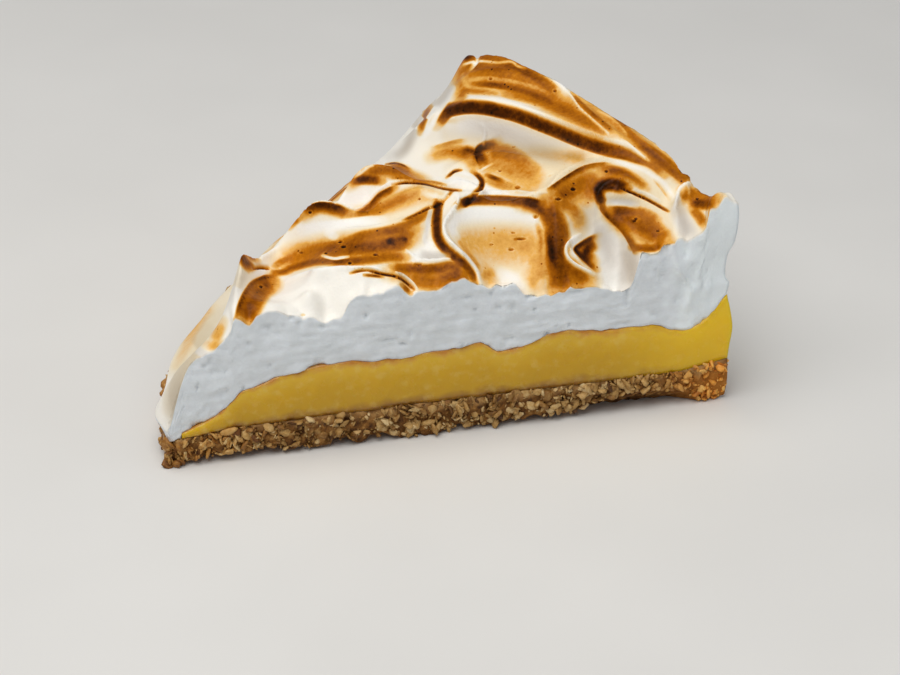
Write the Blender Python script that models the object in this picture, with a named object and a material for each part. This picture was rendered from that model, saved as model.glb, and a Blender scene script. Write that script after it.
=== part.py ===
"""A slice of lemon meringue tart, lying on its base as it was cut.

Three layers show at the two cut faces and along the rim: a crumbly biscuit
crust, a band of lemon curd, and a thick swirled meringue on top.

The shape tables are in millimetres. Letter a is the distance from the tip of
the slice back along the front cut, b is the distance in from the front cut,
r and theta are the same place as radius and angle about the tip.
"""
import math

import bmesh
import bpy
import numpy as np
from mathutils import Vector, geometry

MM = 0.001
WEDGE = 60.0            # angle of the slice, one sixth of a round tart
RADIUS = 125.0          # tip to rim
X_TIP = 63.05           # tip of the slice, from the middle of the slice
Y_CUT = -53.07          # plane of the front cut
GAP = 0.3               # clearance between two layers that touch
ROWS = 68               # rows of the meringue top, from tip to rim
WALL_ROWS = 4           # rows of facets down the cut faces of the meringue
CURD_EDGE = 122.3       # radius at which the curd thins out under the meringue
CURD_ROWS = 3
CRUST_COLUMNS = 78      # facets along each side of the crust
CRUST_ROWS = 4
CRUST_RIM = 125.6       # radius of the crust at the rim
FOOT_INSET = 4.0        # the flat underside starts this far in from the sides
CAP_STEP = 8.0          # spacing of the points across the hidden flat faces

# Height of each layer against radius, as (r, z).
CRUST_TOP = ((0, 10.6), (6, 9.3), (12, 8.4), (60, 8.4), (110, 7.8), (120, 7.0), (127, 6.2))
CURD_TOP = ((0, 26.5), (2, 24.8), (4, 22.9), (7, 20.2), (12, 19.4), (18, 21.3), (30, 21.7),
            (39, 22.5), (46, 20.6), (52, 19.3), (57, 22.0), (62, 21.0), (74, 20.6), (90, 21.0),
            (98, 20.0), (105, 17.9), (109, 16.4), (113, 12.9), (116, 10.8), (122.3, 8.2))
CRUST_LIFT = ((0, 1.4), (7, 0.3), (12, 3.6), (20, 4.4), (27, 3.6), (35, 1.8), (50, 1.5),
              (67, 0.3), (82, 1.3), (108, 1.4), (125, 0.4))

# Height of the meringue against radius: along the front cut, just behind it,
# half way round and along the back cut.
TOP_CUT = ((0, 49), (5, 48.5), (8, 45), (13, 42), (18, 37.5), (25, 35.5), (40, 33), (50, 33.5),
           (61, 38), (72, 37), (81, 37), (89, 33), (97, 33.6), (104, 35), (110, 32.5),
           (117, 27.5), (120.5, 23.5), (123, 16), (125, 9))
TOP_NEAR = ((0, 49), (12, 47), (25, 45), (45, 44.5), (70, 46), (88, 41), (99, 35), (107, 31.5),
            (114, 26), (120, 19), (125, 9))
TOP_MID = ((0, 49), (20, 48.5), (45, 48), (68, 47), (79, 44.5), (87, 40), (95, 33.5), (103, 27),
           (110, 20), (116, 14), (125, 8.6))
TOP_BACK = ((0, 49), (12, 50), (20, 54), (34, 55.5), (45, 58), (60, 59.6), (72, 60.2), (79, 59),
            (84, 55), (90, 49), (96, 42.5), (102, 36), (108, 29), (114, 22), (120, 15), (125, 9))
# How far the rim is flatter than a true circle about the tip, as (theta, depth).
RIM_INSET = ((0, 0), (6, 0.1), (12, 0.8), (18, 2.4), (24, 4.6), (29, 5.7), (37, 6.2), (45, 5.2),
             (53, 3.6), (60, 2.6))
CUT_SOFT = 9.0          # the top rises from the front cut edge over this depth

# Crests drawn up by the spatula: width of the far side, width of the near
# side, then points (a, b, height), running from the rim towards the tip.
CRESTS = {
    "rim_curl": (8, 8, ((110, -2, 0.6), (108.5, 6, 6.5), (106, 13, 10.5), (104, 18.5, 13.5),
                        (100.5, 24, 9.0), (97, 29, 4.0))),
    "left_lobe": (5, 9, ((97, 31, 3.0), (91, 31, 8.5), (86, 29, 10.0), (80, 24, 4.8),
                         (76, 24, 2.4), (72, 26, 2.8), (66, 25, 2.8), (60, 22.5, 1.6),
                         (55, 21, 0.5))),
    "high_lobe": (7, 8, ((88, 33, 1.5), (81, 36, 5.0), (75, 40, 5.6), (69, 37, 4.4),
                         (65, 31, 2.6), (61, 26.5, 1.6), (57, 26, 1.2), (53, 24, 0.4))),
    "fold": (3.5, 8, ((92, 27, 0.2), (84, 21, 1.2), (76, 15.5, 2.2), (68, 16, 2.4),
                      (62, 19, 2.2), (57, 22, 0.8))),
    "lower_lip": (7, 4, ((96, 9, 0.3), (88, 8, 1.8), (81, 5.5, 2.2), (76, 3.5, 2.4),
                         (71.5, -1, 2.2))),
    "small_lip": (3, 3, ((72, 8.5, 0.2), (67, 5.5, 1.2), (61, 6, 0.4))),
    "bowl_left": (7, 4.5, ((55, 20, 1.0), (58, 16.5, 2.6), (62, 11.5, 3.2), (62.5, 7.5, 3.0),
                           (59, 3, 2.8), (57.5, -2, 2.8))),
    "bowl_top": (5, 9, ((56, 20, 1.4), (50, 17.5, 2.6), (44, 16, 2.8), (38.5, 15.5, 3.2),
                        (34, 19, 4.0), (28, 20.5, 4.2), (22, 20, 3.4), (16, 16.5, 1.6),
                        (11, 13, 0.3))),
    "bowl_right": (8, 8, ((41, 17, 1.4), (37.5, 12, 2.8), (38.5, 7, 3.2), (39, 2, 3.2),
                          (40, -3, 2.8))),
    "hook": (4, 4.5, ((29, 9.5, 0.4), (28, 13, 2.0), (25, 15, 2.6), (21, 14.5, 2.6),
                      (17, 11.5, 1.8), (13, 7.5, 0.6))),
    "thumb": (3, 6, ((34, 10.5, 0.3), (36.3, 8, 1.8), (36, 5.5, 2.2), (33.5, 3.4, 2.0),
                     (30, 1.6, 1.2), (27.5, 0, 0.2))),
    "back_crest": (9, 4.0, ((60, 60, 0.3), (52, 53.5, 1.6), (45, 49.5, 2.8), (37, 42.5, 3.0),
                            (30, 34, 3.0), (23, 27, 2.4), (16, 20, 1.2), (10, 14, 0.2))),
    "back_soft": (4, 5, ((47, 66, 0.2), (41, 61, 1.0), (34, 53.5, 1.2), (27, 44.5, 0.3))),
    "back_thin": (3, 4, ((29, 49, 0.4), (25, 39, 1.4), (21, 28, 1.4), (17, 22, 0.3))),
    "tip_thin": (3, 4, ((21, 35, 0.3), (17, 27, 1.2), (12.5, 17.5, 1.2), (8, 11, 1.4),
                        (11, 8, 1.6), (12, 4, 1.0))),
    "middle_fold": (4, 7, ((57, 33, 0.3), (52, 36, 1.4), (46, 36, 1.8), (40, 31, 1.0),
                           (34, 27, 0.2))),
    "centre_curl": (2.5, 4, ((62, 21, 0.2), (58, 25, 1.6), (54, 25, 2.0), (51.5, 21.5, 1.2),
                             (53, 18.5, 0.3))),
    "rim_sweep": (6, 8, ((107, 34, 0.2), (99, 44, 0.9), (88, 52, 1.2), (78, 56, 0.9),
                         (68, 54, 0.2))),
    "rim_fall": (5, 6, ((102, 55, 0.2), (92, 63, 1.0), (80, 73, 1.2), (68, 86, 0.4))),
}
# Edges where one fold stands over the next: reach, sharpness, then points
# (a, b, half of the drop); the fold is higher on the far or tip side.
STEPS = {
    "slab_edge": (11, 0.9, ((28, 15, 0.6), (27, 11.5, 1.6), (23.5, 8.5, 2.8), (21.5, 4, 3.6),
                            (21.3, -3, 3.8))),
    "back_wall": (10, 1.8, ((56, 55, 0.2), (48, 50, 1.2), (38, 42, 1.5), (28, 30.5, 1.5),
                            (19, 21, 0.8), (12, 14, 0.1))),
}
# Broad humps and hollows: a, b, height, half lengths along a and along b.
LOBES = {
    "bowl": (50, 9, -3.6, 9, 7),
    "tongue": (26.5, 6, -2.6, 4.5, 8),
    "thumb_hollow": (31.5, 6.5, -0.7, 3, 2.5),
    "valley_back": (45, 40, -2.4, 14, 8),
    "valley_left": (76, 32, -1.4, 6, 4),
    "high_hump": (73, 42, 2.4, 7, 5),
    "field": (82, 14, 0.9, 9, 5),
    "hook_hollow": (20.5, 10.5, -1.6, 4.5, 2.2),
    "tip_nub": (3, 3.5, 1.6, 5, 5),
    "cut_lump": (101, 1, 2.0, 5, 5),
    "back_bulge": (50, 86.5, 5.5, 7, 7),
}
RIM_LUMPS = ((3.6, 3.0, 2.3), (15, 4.0, 0.5), (27, 4.0, 0.6), (41, 4.5, 0.5), (56, 4.5, 1.4))


def blend_curve(knots, t):
    """Smooth curve through the knots that never swings past them."""
    knots = np.array(knots, float)
    x, y = knots[:, 0], knots[:, 1]
    step = np.diff(x)
    rise = np.diff(y) / step
    slope = np.zeros(len(x))
    slope[0], slope[-1] = rise[0], rise[-1]
    product = rise[:-1] * rise[1:]
    safe = np.where(product > 0, rise[:-1] + rise[1:], 1.0)
    slope[1:-1] = np.where(product > 0, 2 * product / safe, 0.0)
    t = np.clip(t, x[0], x[-1])
    i = np.clip(np.searchsorted(x, t) - 1, 0, len(x) - 2)
    s = (t - x[i]) / step[i]
    start = (2 * s**3 - 3 * s**2 + 1) * y[i] + (s**3 - 2 * s**2 + s) * step[i] * slope[i]
    end = (3 * s**2 - 2 * s**3) * y[i + 1] + (s**3 - s**2) * step[i] * slope[i + 1]
    return start + end


def smooth_path(points, pieces=6):
    """Points along a rounded path through the given rows of numbers."""
    p = np.array(points, float)
    p = np.vstack([2 * p[0] - p[1], p, 2 * p[-1] - p[-2]])
    rows = []
    for i in range(1, len(p) - 2):
        for s in np.linspace(0, 1, pieces, endpoint=False):
            row = 2 * p[i] + (p[i + 1] - p[i - 1]) * s
            row = row + (2 * p[i - 1] - 5 * p[i] + 4 * p[i + 1] - p[i + 2]) * s**2
            row = row + (3 * p[i] - p[i - 1] - 3 * p[i + 1] + p[i + 2]) * s**3
            rows.append(row / 2)
    rows.append(p[-2])
    return np.array(rows)


def near_path(a, b, path):
    """Distance to the path, which side, and the height carried along it."""
    best = np.full(a.shape, 1e9)
    side = np.ones(a.shape)
    height = np.zeros(a.shape)
    for p, q in zip(path[:-1], path[1:]):
        da, db = q[0] - p[0], q[1] - p[1]
        length = max(da * da + db * db, 1e-9)
        s = np.clip(((a - p[0]) * da + (b - p[1]) * db) / length, 0, 1)
        away = np.hypot(a - p[0] - s * da, b - p[1] - s * db)
        closer = away < best
        best = np.where(closer, away, best)
        turn = (b - p[1]) * -da + (a - p[0]) * db
        side = np.where(closer, np.where(turn >= 0, 1.0, -1.0), side)
        height = np.where(closer, p[2] + s * (q[2] - p[2]), height)
    return best, side, height


def crest_rise(a, b):
    """Height added by the crests, the folds and the broad lobes."""
    rise = np.zeros(a.shape)
    for far, near, points in CRESTS.values():
        away, side, height = near_path(a, b, smooth_path(points))
        u = away / np.where(side > 0, far, near)
        u = np.sqrt(u * u + 0.006) - 0.0775
        rise = rise + height * np.clip(1 - u, 0, 1) ** 2
    for reach, edge, points in STEPS.values():
        away, side, height = near_path(a, b, smooth_path(points))
        fade = np.clip(1 - away / reach, 0, 1) ** 2
        rise = rise + height * np.tanh(side * away / edge) * fade
    for at_a, at_b, height, long_a, long_b in LOBES.values():
        rise = rise + height * np.exp(-((a - at_a) / long_a) ** 2 - ((b - at_b) / long_b) ** 2)
    return rise


def true_radius(r, theta):
    """Distance from the tip once the rim is drawn in."""
    return r - blend_curve(RIM_INSET, theta) * (r / RADIUS) ** 1.5


def top_height(r, theta):
    """Height of the meringue top at a radius and an angle in degrees."""
    a = true_radius(r, theta) * np.cos(np.radians(theta))
    b = true_radius(r, theta) * np.sin(np.radians(theta))
    t = np.clip(theta / WEDGE, 0, 1)
    z = (1 - t) * (1 - 2 * t) * blend_curve(TOP_NEAR, r)
    z = z + 4 * t * (1 - t) * blend_curve(TOP_MID, r)
    z = z + t * (2 * t - 1) * blend_curve(TOP_BACK, r)
    k = np.exp(-((np.maximum(b, 0) / CUT_SOFT) ** 1.7))
    z = z * (1 - k) + blend_curve(TOP_CUT, r) * k
    ease = np.clip((RADIUS - r) / 10, 0, 1)
    return z + crest_rise(a, b) * ease


def rim_push(theta, z):
    """How far the meringue bulges out past the rim."""
    push = np.zeros(np.shape(theta))
    for at, spread, amount in RIM_LUMPS:
        push = push + amount * np.exp(-(((theta - at) / spread) ** 2))
    return push * np.clip((z - 4.5) / 4, 0, 1) * np.clip((28 - z) / 14, 0, 1)


def ripple(u, v, seed):
    """Smooth uneven value between about -1 and 1."""
    n = np.sin(u * 1.13 + seed * 1.7 + 1.9 * np.sin(v * 0.83 + seed))
    n = n + np.sin(v * 1.41 - seed * 2.3 + 1.6 * np.sin(u * 0.71 + seed * 0.6))
    return n / 2


def crumble(i, j, seed):
    """Scattered value between -1 and 1 for a facet corner of the crust."""
    n = np.sin(i * 12.9898 + j * 78.233 + seed * 37.719) * 43758.5453
    return 2 * (n - np.floor(n)) - 1


def row_radii():
    """Radii of the meringue rows, closer together towards the rim."""
    count = ROWS - 1
    s = np.arange(ROWS) / count
    return np.append(CURD_EDGE * (1.12 * s - 0.12 * s**2.5), RADIUS)


def outline(radii, arc_radius, columns):
    """Columns once round a wedge: front cut to the tip, back cut, then rim.

    Each column is (r, theta, outward x, outward y, side, place on the side).
    """
    rows = []
    rim_theta = np.linspace(WEDGE, 0, columns + 1)
    back = np.radians(WEDGE)
    for r in radii[:0:-1]:
        rows.append((r, 0.0, 0.0, -1.0, 0, r))
    rows.append((0.0, 0.0, math.cos(back / 2), -math.sin(back / 2), 1, 0.0))
    for r in radii[1:-1]:
        rows.append((r, WEDGE, math.sin(back), math.cos(back), 2, r))
    for theta in rim_theta[:-1]:
        t = math.radians(theta)
        rows.append((arc_radius, theta, -math.cos(t), math.sin(t), 3, theta))
    return rows


def place(r, theta, z, out=0.0, out_x=0.0, out_y=0.0):
    """Point of the slice in metres."""
    t = math.radians(theta)
    r = float(true_radius(r, theta))
    x = X_TIP - r * math.cos(t) + out * out_x
    y = Y_CUT + r * math.sin(t) + out * out_y
    return (x * MM, y * MM, z * MM)


def face_relief(side, along, z, low, high):
    """Unevenness of a cut face of the soft layers, outward in millimetres."""
    if side == 3:
        return 0.0
    calm = min(along / 6.0, 1.0)
    seed = 2.0 if side == 0 else 5.0
    wave = 0.35 * ripple(along / 6.5, z / 5.0, seed)
    level = min(max((z - low) / (high - low), 0), 1)
    belly = 0.45 * math.sin(math.pi * level)
    tip_swell = 0.9 * math.exp(-((along / 5) ** 2)) * math.exp(-(((z - 20) / 6) ** 2))
    torn = 0.8 * math.exp(-(((along - 14) / 7) ** 2)) * ripple(along / 2.2, z / 6, 3.0)
    torn = torn * min(max((z - 24) / 8, 0), 1)
    return (wave + torn) * calm + belly * 0.5 + tip_swell


def flat_points(radius):
    """Even points well inside the wedge, for the hidden faces."""
    points = []
    count = int(radius / CAP_STEP)
    for i in range(2, count):
        r = i * CAP_STEP
        across = max(int(round(r * math.radians(WEDGE) / CAP_STEP)), 1)
        for j in range(across):
            theta = WEDGE * (j + 0.5) / across
            if r * math.sin(math.radians(min(theta, WEDGE - theta))) > CAP_STEP * 0.3:
                points.append((r, theta))
    return points


def triangulate(ring_xy, inner_xy):
    """Triangles over a closed ring of points with more points inside it."""
    points = [Vector(p) for p in ring_xy] + [Vector(p) for p in inner_xy]
    edges = [(i, (i + 1) % len(ring_xy)) for i in range(len(ring_xy))]
    answer = geometry.delaunay_2d_cdt(points, edges, [], 1, 1e-7)
    source = [origin[0] for origin in answer[3]]
    return [[source[i] for i in face] for face in answer[2]]


def finish_mesh(name, verts, faces, colour, roughness):
    """Closed object with outward faces and its own material."""
    mesh = bpy.data.meshes.new(name)
    mesh.from_pydata(verts, [], faces)
    work = bmesh.new()
    work.from_mesh(mesh)
    bmesh.ops.triangulate(work, faces=work.faces[:])
    bmesh.ops.recalc_face_normals(work, faces=work.faces[:])
    if work.calc_volume(signed=True) < 0:
        bmesh.ops.reverse_faces(work, faces=work.faces[:])
    work.to_mesh(mesh)
    work.free()
    for polygon in mesh.polygons:
        polygon.use_smooth = True
    material = bpy.data.materials.new(name + "_material")
    material.use_nodes = True
    shader = material.node_tree.nodes["Principled BSDF"]
    shader.inputs["Base Color"].default_value = colour
    shader.inputs["Roughness"].default_value = roughness
    mesh.materials.append(material)
    item = bpy.data.objects.new(name, mesh)
    bpy.context.scene.collection.objects.link(item)
    return item


def join_rings(faces, lower, upper):
    """Band of quads between two closed rings of corners."""
    count = len(lower)
    for i in range(count):
        k = (i + 1) % count
        faces.append((lower[i], lower[k], upper[k], upper[i]))


def soft_column(column, z, low, high):
    """Point of a soft layer on one column of its outline."""
    r, theta, out_x, out_y, side, along = column
    out = face_relief(side, along, z, low, high)
    if side == 3 or r >= RADIUS:
        bulge = float(rim_push(theta, z))
        t = math.radians(theta)
        if side == 3:
            return place(r + bulge, theta, z)
        return place(r, theta, z, bulge, -math.cos(t), math.sin(t))
    return place(r, theta, z, out, out_x, out_y)


def build_meringue(radii):
    """Swirled top over a wedge, straight cut walls and a hidden underside."""
    verts, faces, rows = [], [], []
    for i, r in enumerate(radii):
        theta = np.linspace(0, WEDGE, i + 1) if i else np.array([WEDGE / 2])
        z = top_height(np.full(theta.shape, r), theta)
        swell = rim_push(theta, z) * np.clip((r - 110) / 15, 0, 1)
        row = []
        for t, height, out in zip(theta, z, swell):
            row.append(len(verts))
            verts.append(place(r + out, t, height))
        rows.append(row)
    for inner, outer in zip(rows[:-1], rows[1:]):
        for j in range(len(inner)):
            faces.append((inner[j], outer[j + 1], outer[j]))
            if j + 1 < len(inner):
                faces.append((inner[j], inner[j + 1], outer[j + 1]))

    columns = outline(radii, RADIUS, ROWS)
    upper = [row[0] for row in rows[:0:-1]] + [rows[0][0]]
    upper += [row[-1] for row in rows[1:-1]] + rows[-1][:0:-1]
    low = []
    for column in columns:
        r = column[0]
        if r > CURD_EDGE:
            low.append(float(blend_curve(CRUST_TOP, r)) + GAP)
        else:
            low.append(float(blend_curve(CURD_TOP, r)) + GAP)
    for column, corner, floor in zip(columns, upper, low):
        height = verts[corner][2] / MM
        if column[4] != 3 and column[0] < RADIUS:
            verts[corner] = soft_column(column, height, floor, height)
    tops = [verts[corner][2] / MM for corner in upper]
    ring = upper
    for k in range(1, WALL_ROWS + 1):
        below = []
        for column, top, floor in zip(columns, tops, low):
            z = top + (floor - top) * k / WALL_ROWS
            below.append(len(verts))
            verts.append(soft_column(column, z, floor, top))
        join_rings(faces, below, ring)
        ring = below

    arc = []
    for theta in np.linspace(WEDGE, 0, ROWS + 1)[1:-1]:
        arc.append(len(verts))
        verts.append(place(CURD_EDGE, theta, low[1]))
    front_inner, back_inner = ring[1], ring[2 * ROWS - 1]
    outer = ring[2 * ROWS:] + [ring[0]]
    inner_arc = [back_inner] + arc + [front_inner]
    for i in range(ROWS):
        faces.append((outer[i], outer[i + 1], inner_arc[i + 1], inner_arc[i]))
    hidden = ring[1:2 * ROWS] + arc
    close_cap(verts, faces, hidden, CURD_TOP, GAP)
    return finish_mesh("meringue", verts, faces, (0.93, 0.88, 0.80, 1), 0.35)


def close_cap(verts, faces, ring, heights, lift):
    """Hidden face across a ring, at the height its radius gives."""
    inner = flat_points(CURD_EDGE)
    first = len(verts)
    for r, theta in inner:
        verts.append(place(r, theta, float(blend_curve(heights, r)) + lift))
    index = ring + list(range(first, len(verts)))
    ring_xy = [verts[i][:2] for i in ring]
    inner_xy = [verts[i][:2] for i in index[len(ring):]]
    for face in triangulate(ring_xy, inner_xy):
        faces.append([index[i] for i in face])


def build_curd(radii):
    """Band of curd between the crust and the meringue."""
    verts, faces = [], []
    columns = outline(radii, CURD_EDGE, ROWS)
    floors = [float(blend_curve(CRUST_TOP, c[0])) + GAP for c in columns]
    tops = [float(blend_curve(CURD_TOP, c[0])) for c in columns]
    rings = []
    for k in range(CURD_ROWS + 1):
        ring = []
        for column, floor, top in zip(columns, floors, tops):
            z = floor + (top - floor) * k / CURD_ROWS
            ring.append(len(verts))
            out = face_relief(column[4], column[5], z, floor - 1, top)
            verts.append(place(column[0], column[1], z, out, column[2], column[3]))
        rings.append(ring)
    for lower, upper in zip(rings[:-1], rings[1:]):
        join_rings(faces, lower, upper)
    close_cap(verts, faces, rings[-1], CURD_TOP, 0.0)
    close_cap(verts, faces, rings[0], CRUST_TOP, GAP)
    return finish_mesh("lemon_curd", verts, faces, (0.90, 0.62, 0.08, 1), 0.25)


def build_crust():
    """Crumbly base: rough sides, a broken lower edge and a flat foot."""
    verts, faces = [], []
    radii = np.linspace(0, CRUST_RIM, CRUST_COLUMNS + 1)
    columns = outline(radii, CRUST_RIM, CRUST_COLUMNS)
    rings = []
    for k in range(CRUST_ROWS + 1):
        ring = []
        level = k / CRUST_ROWS
        for i, column in enumerate(columns):
            r, theta, out_x, out_y, side, along = column
            roof = float(blend_curve(CRUST_TOP, r))
            lift = float(blend_curve(CRUST_LIFT, along)) if side < 2 else 0.7
            lift = max(lift + 0.6 * crumble(i, 0, 1.0), 0.25)
            z = lift + (roof - lift) * level
            calm = min(r / 5, 1.0)
            out = (0.75 * crumble(i, k, 2.0) + 0.15) * calm + 0.5 * math.sin(level * math.pi)
            if 0 < k < CRUST_ROWS:
                z += 0.45 * crumble(i, k, 3.0)
            ring.append(len(verts))
            verts.append(place(r, theta, z, out, out_x, out_y))
        rings.append(ring)
    for lower, upper in zip(rings[:-1], rings[1:]):
        join_rings(faces, lower, upper)

    slope = math.tan(math.radians(WEDGE / 2))
    reach = CRUST_RIM - FOOT_INSET
    foot = []
    for r, theta, _, _, side, along in columns:
        share = r / CRUST_RIM
        start = FOOT_INSET / slope
        a = start + (math.sqrt(reach**2 - FOOT_INSET**2) - start) * share
        bend = math.degrees(math.atan2(FOOT_INSET, a))
        if side == 0:
            at, turn = math.hypot(a, FOOT_INSET), bend
        elif side == 1:
            at, turn = FOOT_INSET / math.sin(math.radians(WEDGE / 2)), WEDGE / 2
        elif side == 2:
            at, turn = math.hypot(a, FOOT_INSET), WEDGE - bend
        else:
            at = reach
            turn = bend + (WEDGE - 2 * bend) * theta / WEDGE
        foot.append(len(verts))
        verts.append(place(at, turn, 0.0))
    join_rings(faces, foot, rings[0])
    close_cap(verts, faces, rings[-1], CRUST_TOP, 0.0)
    for face in triangulate([verts[i][:2] for i in foot], []):
        faces.append([foot[i] for i in face])
    return finish_mesh("crust", verts, faces, (0.60, 0.36, 0.14, 1), 0.85)


for old in list(bpy.data.objects):
    bpy.data.objects.remove(old, do_unlink=True)
RADII = row_radii()
build_crust()
build_curd(RADII[:-1])
build_meringue(RADII)
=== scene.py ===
"""Looks of a slice of lemon meringue tart: crust, curd and torched meringue.

The shape tables are in millimetres. Letter a is the distance from the tip of
the slice back along the front cut, b is the distance in from the front cut,
r and theta are the same place as radius and angle about the tip.
"""
import itertools
import math

import bmesh
import bpy
import numpy as np
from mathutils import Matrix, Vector
from mathutils.bvhtree import BVHTree


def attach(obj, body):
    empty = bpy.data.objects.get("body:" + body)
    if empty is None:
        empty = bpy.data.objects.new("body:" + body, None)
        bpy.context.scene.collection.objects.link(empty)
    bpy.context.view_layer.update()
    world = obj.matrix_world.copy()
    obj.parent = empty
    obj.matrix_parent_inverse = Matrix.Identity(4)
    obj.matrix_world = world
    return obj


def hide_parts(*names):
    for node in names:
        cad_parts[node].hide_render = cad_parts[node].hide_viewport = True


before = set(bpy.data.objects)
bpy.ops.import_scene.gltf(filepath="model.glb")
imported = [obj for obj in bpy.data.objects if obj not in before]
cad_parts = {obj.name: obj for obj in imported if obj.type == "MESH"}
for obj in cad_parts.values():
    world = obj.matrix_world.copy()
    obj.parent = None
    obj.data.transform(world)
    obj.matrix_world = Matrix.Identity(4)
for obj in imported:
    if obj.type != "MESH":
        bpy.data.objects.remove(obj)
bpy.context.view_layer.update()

MM = 0.001
WEDGE = 60.0            # angle of the slice, one sixth of a round tart
RADIUS = 125.0          # tip to rim
CURD_EDGE = 122.3       # radius at which the curd thins out under the meringue
CRUST_RIM = 125.6       # radius of the crust at the rim
FOOT_INSET = 6.4        # the flat foot starts this far in from the sides of the crust
X_TIP = 63.05           # tip of the slice, from the middle of the slice
Y_CUT = -53.07          # plane of the front cut
JOIN = 0.1              # clearance left between two layers that touch

TOP_ROWS = 222          # rows of the meringue top, from tip to rim
LONG_EDGE = 0.76        # edges of the top longer than this are split
FINE_EDGE = 0.30        # so are those longer than this across the rim of a torch mark
TOAST_STEP = 0.14       # change of browning along an edge that counts as such a rim
WALL_ROWS = 28          # rows down the cut faces of the meringue
CURD_COLUMNS = 260
CURD_ROWS = 14
CRUST_COLUMNS = 300
CRUST_ROWS = 10
REACH_3D = 16.0         # a torch mark stays within this distance of its stroke
SOFT_3D = 5.0
END_FADE = 5.0          # pixels over which a stroke fades in and out
CENTRE = (78.0, 45.0)   # a, b of the middle of the slice, where hidden faces meet
MIDDLE = np.array([X_TIP - CENTRE[0], Y_CUT + CENTRE[1]])   # the same place as x, y
BARE_TOAST = 0.02       # browning where no torch mark is
BACK_START = (62, 53)   # a, b from which the marks of the hidden slope fade in
BACK_SOFT = (10, 8)     # and the depths over which they do
NOISE_ROUGHNESS = 0.55
FLOOR_SIZE = 4.0        # metres
SKY_COLOUR = (0.9, 0.94, 1.0, 1)
SKY_STRENGTH = 0.22

# Camera: the picture is 900 x 675.
WIDE, TALL = 900, 675
LENS = 96.0
SENSOR = 36.0
LOOK = (1.25, -46.11, 20.0)
AWAY = 525.0
CAMERA_RISE = 30.5
CAMERA_TURN = 12.95

# Height of each layer against radius, as (r, z).
CRUST_TOP = ((0, 10.6), (6, 9.3), (12, 8.4), (60, 8.4), (110, 7.8), (120, 7.0), (127, 6.2))
CURD_TOP = ((0, 26.5), (2, 24.8), (4, 22.9), (7, 20.2), (12, 19.4), (18, 21.3), (30, 21.7),
            (39, 22.5), (46, 20.6), (52, 19.3), (57, 22.0), (62, 21.0), (74, 20.6), (90, 21.0),
            (98, 20.0), (105, 17.9), (109, 16.4), (113, 12.9), (116, 10.8), (122.3, 8.2))
CRUST_LIFT = ((0, 1.4), (7, 0.3), (12, 3.6), (20, 4.4), (27, 3.6), (35, 1.8), (50, 1.5),
              (67, 0.3), (82, 1.3), (108, 1.4), (125, 0.4))

# Height of the meringue against radius: along the front cut, just behind it,
# half way round and along the back cut.
TOP_CUT = ((0, 49), (5, 48.5), (8, 45), (13, 42), (18, 37.5), (25, 35.5), (40, 33), (50, 33.5),
           (61, 38), (72, 37), (81, 37), (89, 33), (97, 33.6), (104, 35), (110, 32.5),
           (117, 27.5), (120.5, 23.5), (123, 16), (125, 9))
TOP_NEAR = ((0, 49), (12, 47), (25, 45), (45, 44.5), (70, 46), (88, 41), (99, 35), (107, 31.5),
            (114, 26), (120, 19), (125, 9))
TOP_MID = ((0, 49), (20, 48.5), (45, 48), (68, 47), (79, 44.5), (87, 40), (95, 33.5), (103, 27),
           (110, 20), (116, 14), (125, 8.6))
TOP_BACK = ((0, 49), (12, 50), (20, 54), (34, 55.5), (45, 58), (60, 59.6), (72, 60.2), (79, 59),
            (84, 55), (90, 49), (96, 42.5), (102, 36), (108, 29), (114, 22), (120, 15), (125, 9))
# How far the rim is flatter than a true circle about the tip, as (theta, depth).
RIM_INSET = ((0, 0), (6, 0.1), (12, 0.8), (18, 2.4), (24, 4.6), (29, 5.7), (37, 6.2), (45, 5.2),
             (53, 3.6), (60, 2.6))
CUT_SOFT = 9.0          # the top rises from the front cut edge over this depth
# How far the torn front edge stands above or below the smooth line, as (a, rise).
CUT_TRIM = ((0, 0), (2.9, 1.4), (4.6, -0.2), (6.5, 1.0), (7.0, -2.4), (9.8, -2.4), (13.5, 0.8),
            (14.7, 0.4), (16.6, 1.3), (17.0, 0.4), (19.9, 0.7), (22.2, 0), (23.3, -0.9),
            (30.1, -1.8), (36.5, -1.4), (38.4, -3.4), (40.9, -3.3), (42.4, -1.7), (46.9, 0.4),
            (50.2, 2.7), (53.1, 1.4), (54.6, -0.4), (56.7, -1.4), (57.9, -2.5), (59.3, -2.0),
            (59.8, -0.7), (62.4, 0.1), (64.8, -0.4), (66.3, -1.8), (70.6, -1.9), (71.9, -3.0),
            (74.7, 0.5), (77.1, 0.3), (84.6, 0.9), (87.3, -1.3), (91.6, -0.7), (95.8, -0.9),
            (101.1, -1.1), (104.9, -1.6), (106.5, -2.6), (108.5, -0.6), (109.9, 0.3),
            (110.5, -1.7), (112.4, -2.4), (116, -1.0), (122, 0))
TRIM_SOFT = 3.0         # depth over which the torn edge fades into the top
# How far the tip stands out at each height, as (z, out), and how far back it does.
TIP_PROFILE = ((8, 0), (13.2, 0.3), (18.3, 0.8), (23.4, 0), (27.2, -0.9), (29.8, -0.6),
               (30.9, -1.6), (33, -1.8), (36.2, -1.6), (40, -0.2), (43, 0.3), (46.5, 0.5),
               (50, 0.2))
TIP_REACH = 7.0
# Torn ridge on the front cut near the tip, as (z, a), and how far it stands out.
TORN_RIDGE = ((22, 10.6), (25, 10.2), (28.8, 9.6), (36, 13.0), (41.6, 14.2), (50, 15))
TORN_STEP = 1.0

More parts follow.
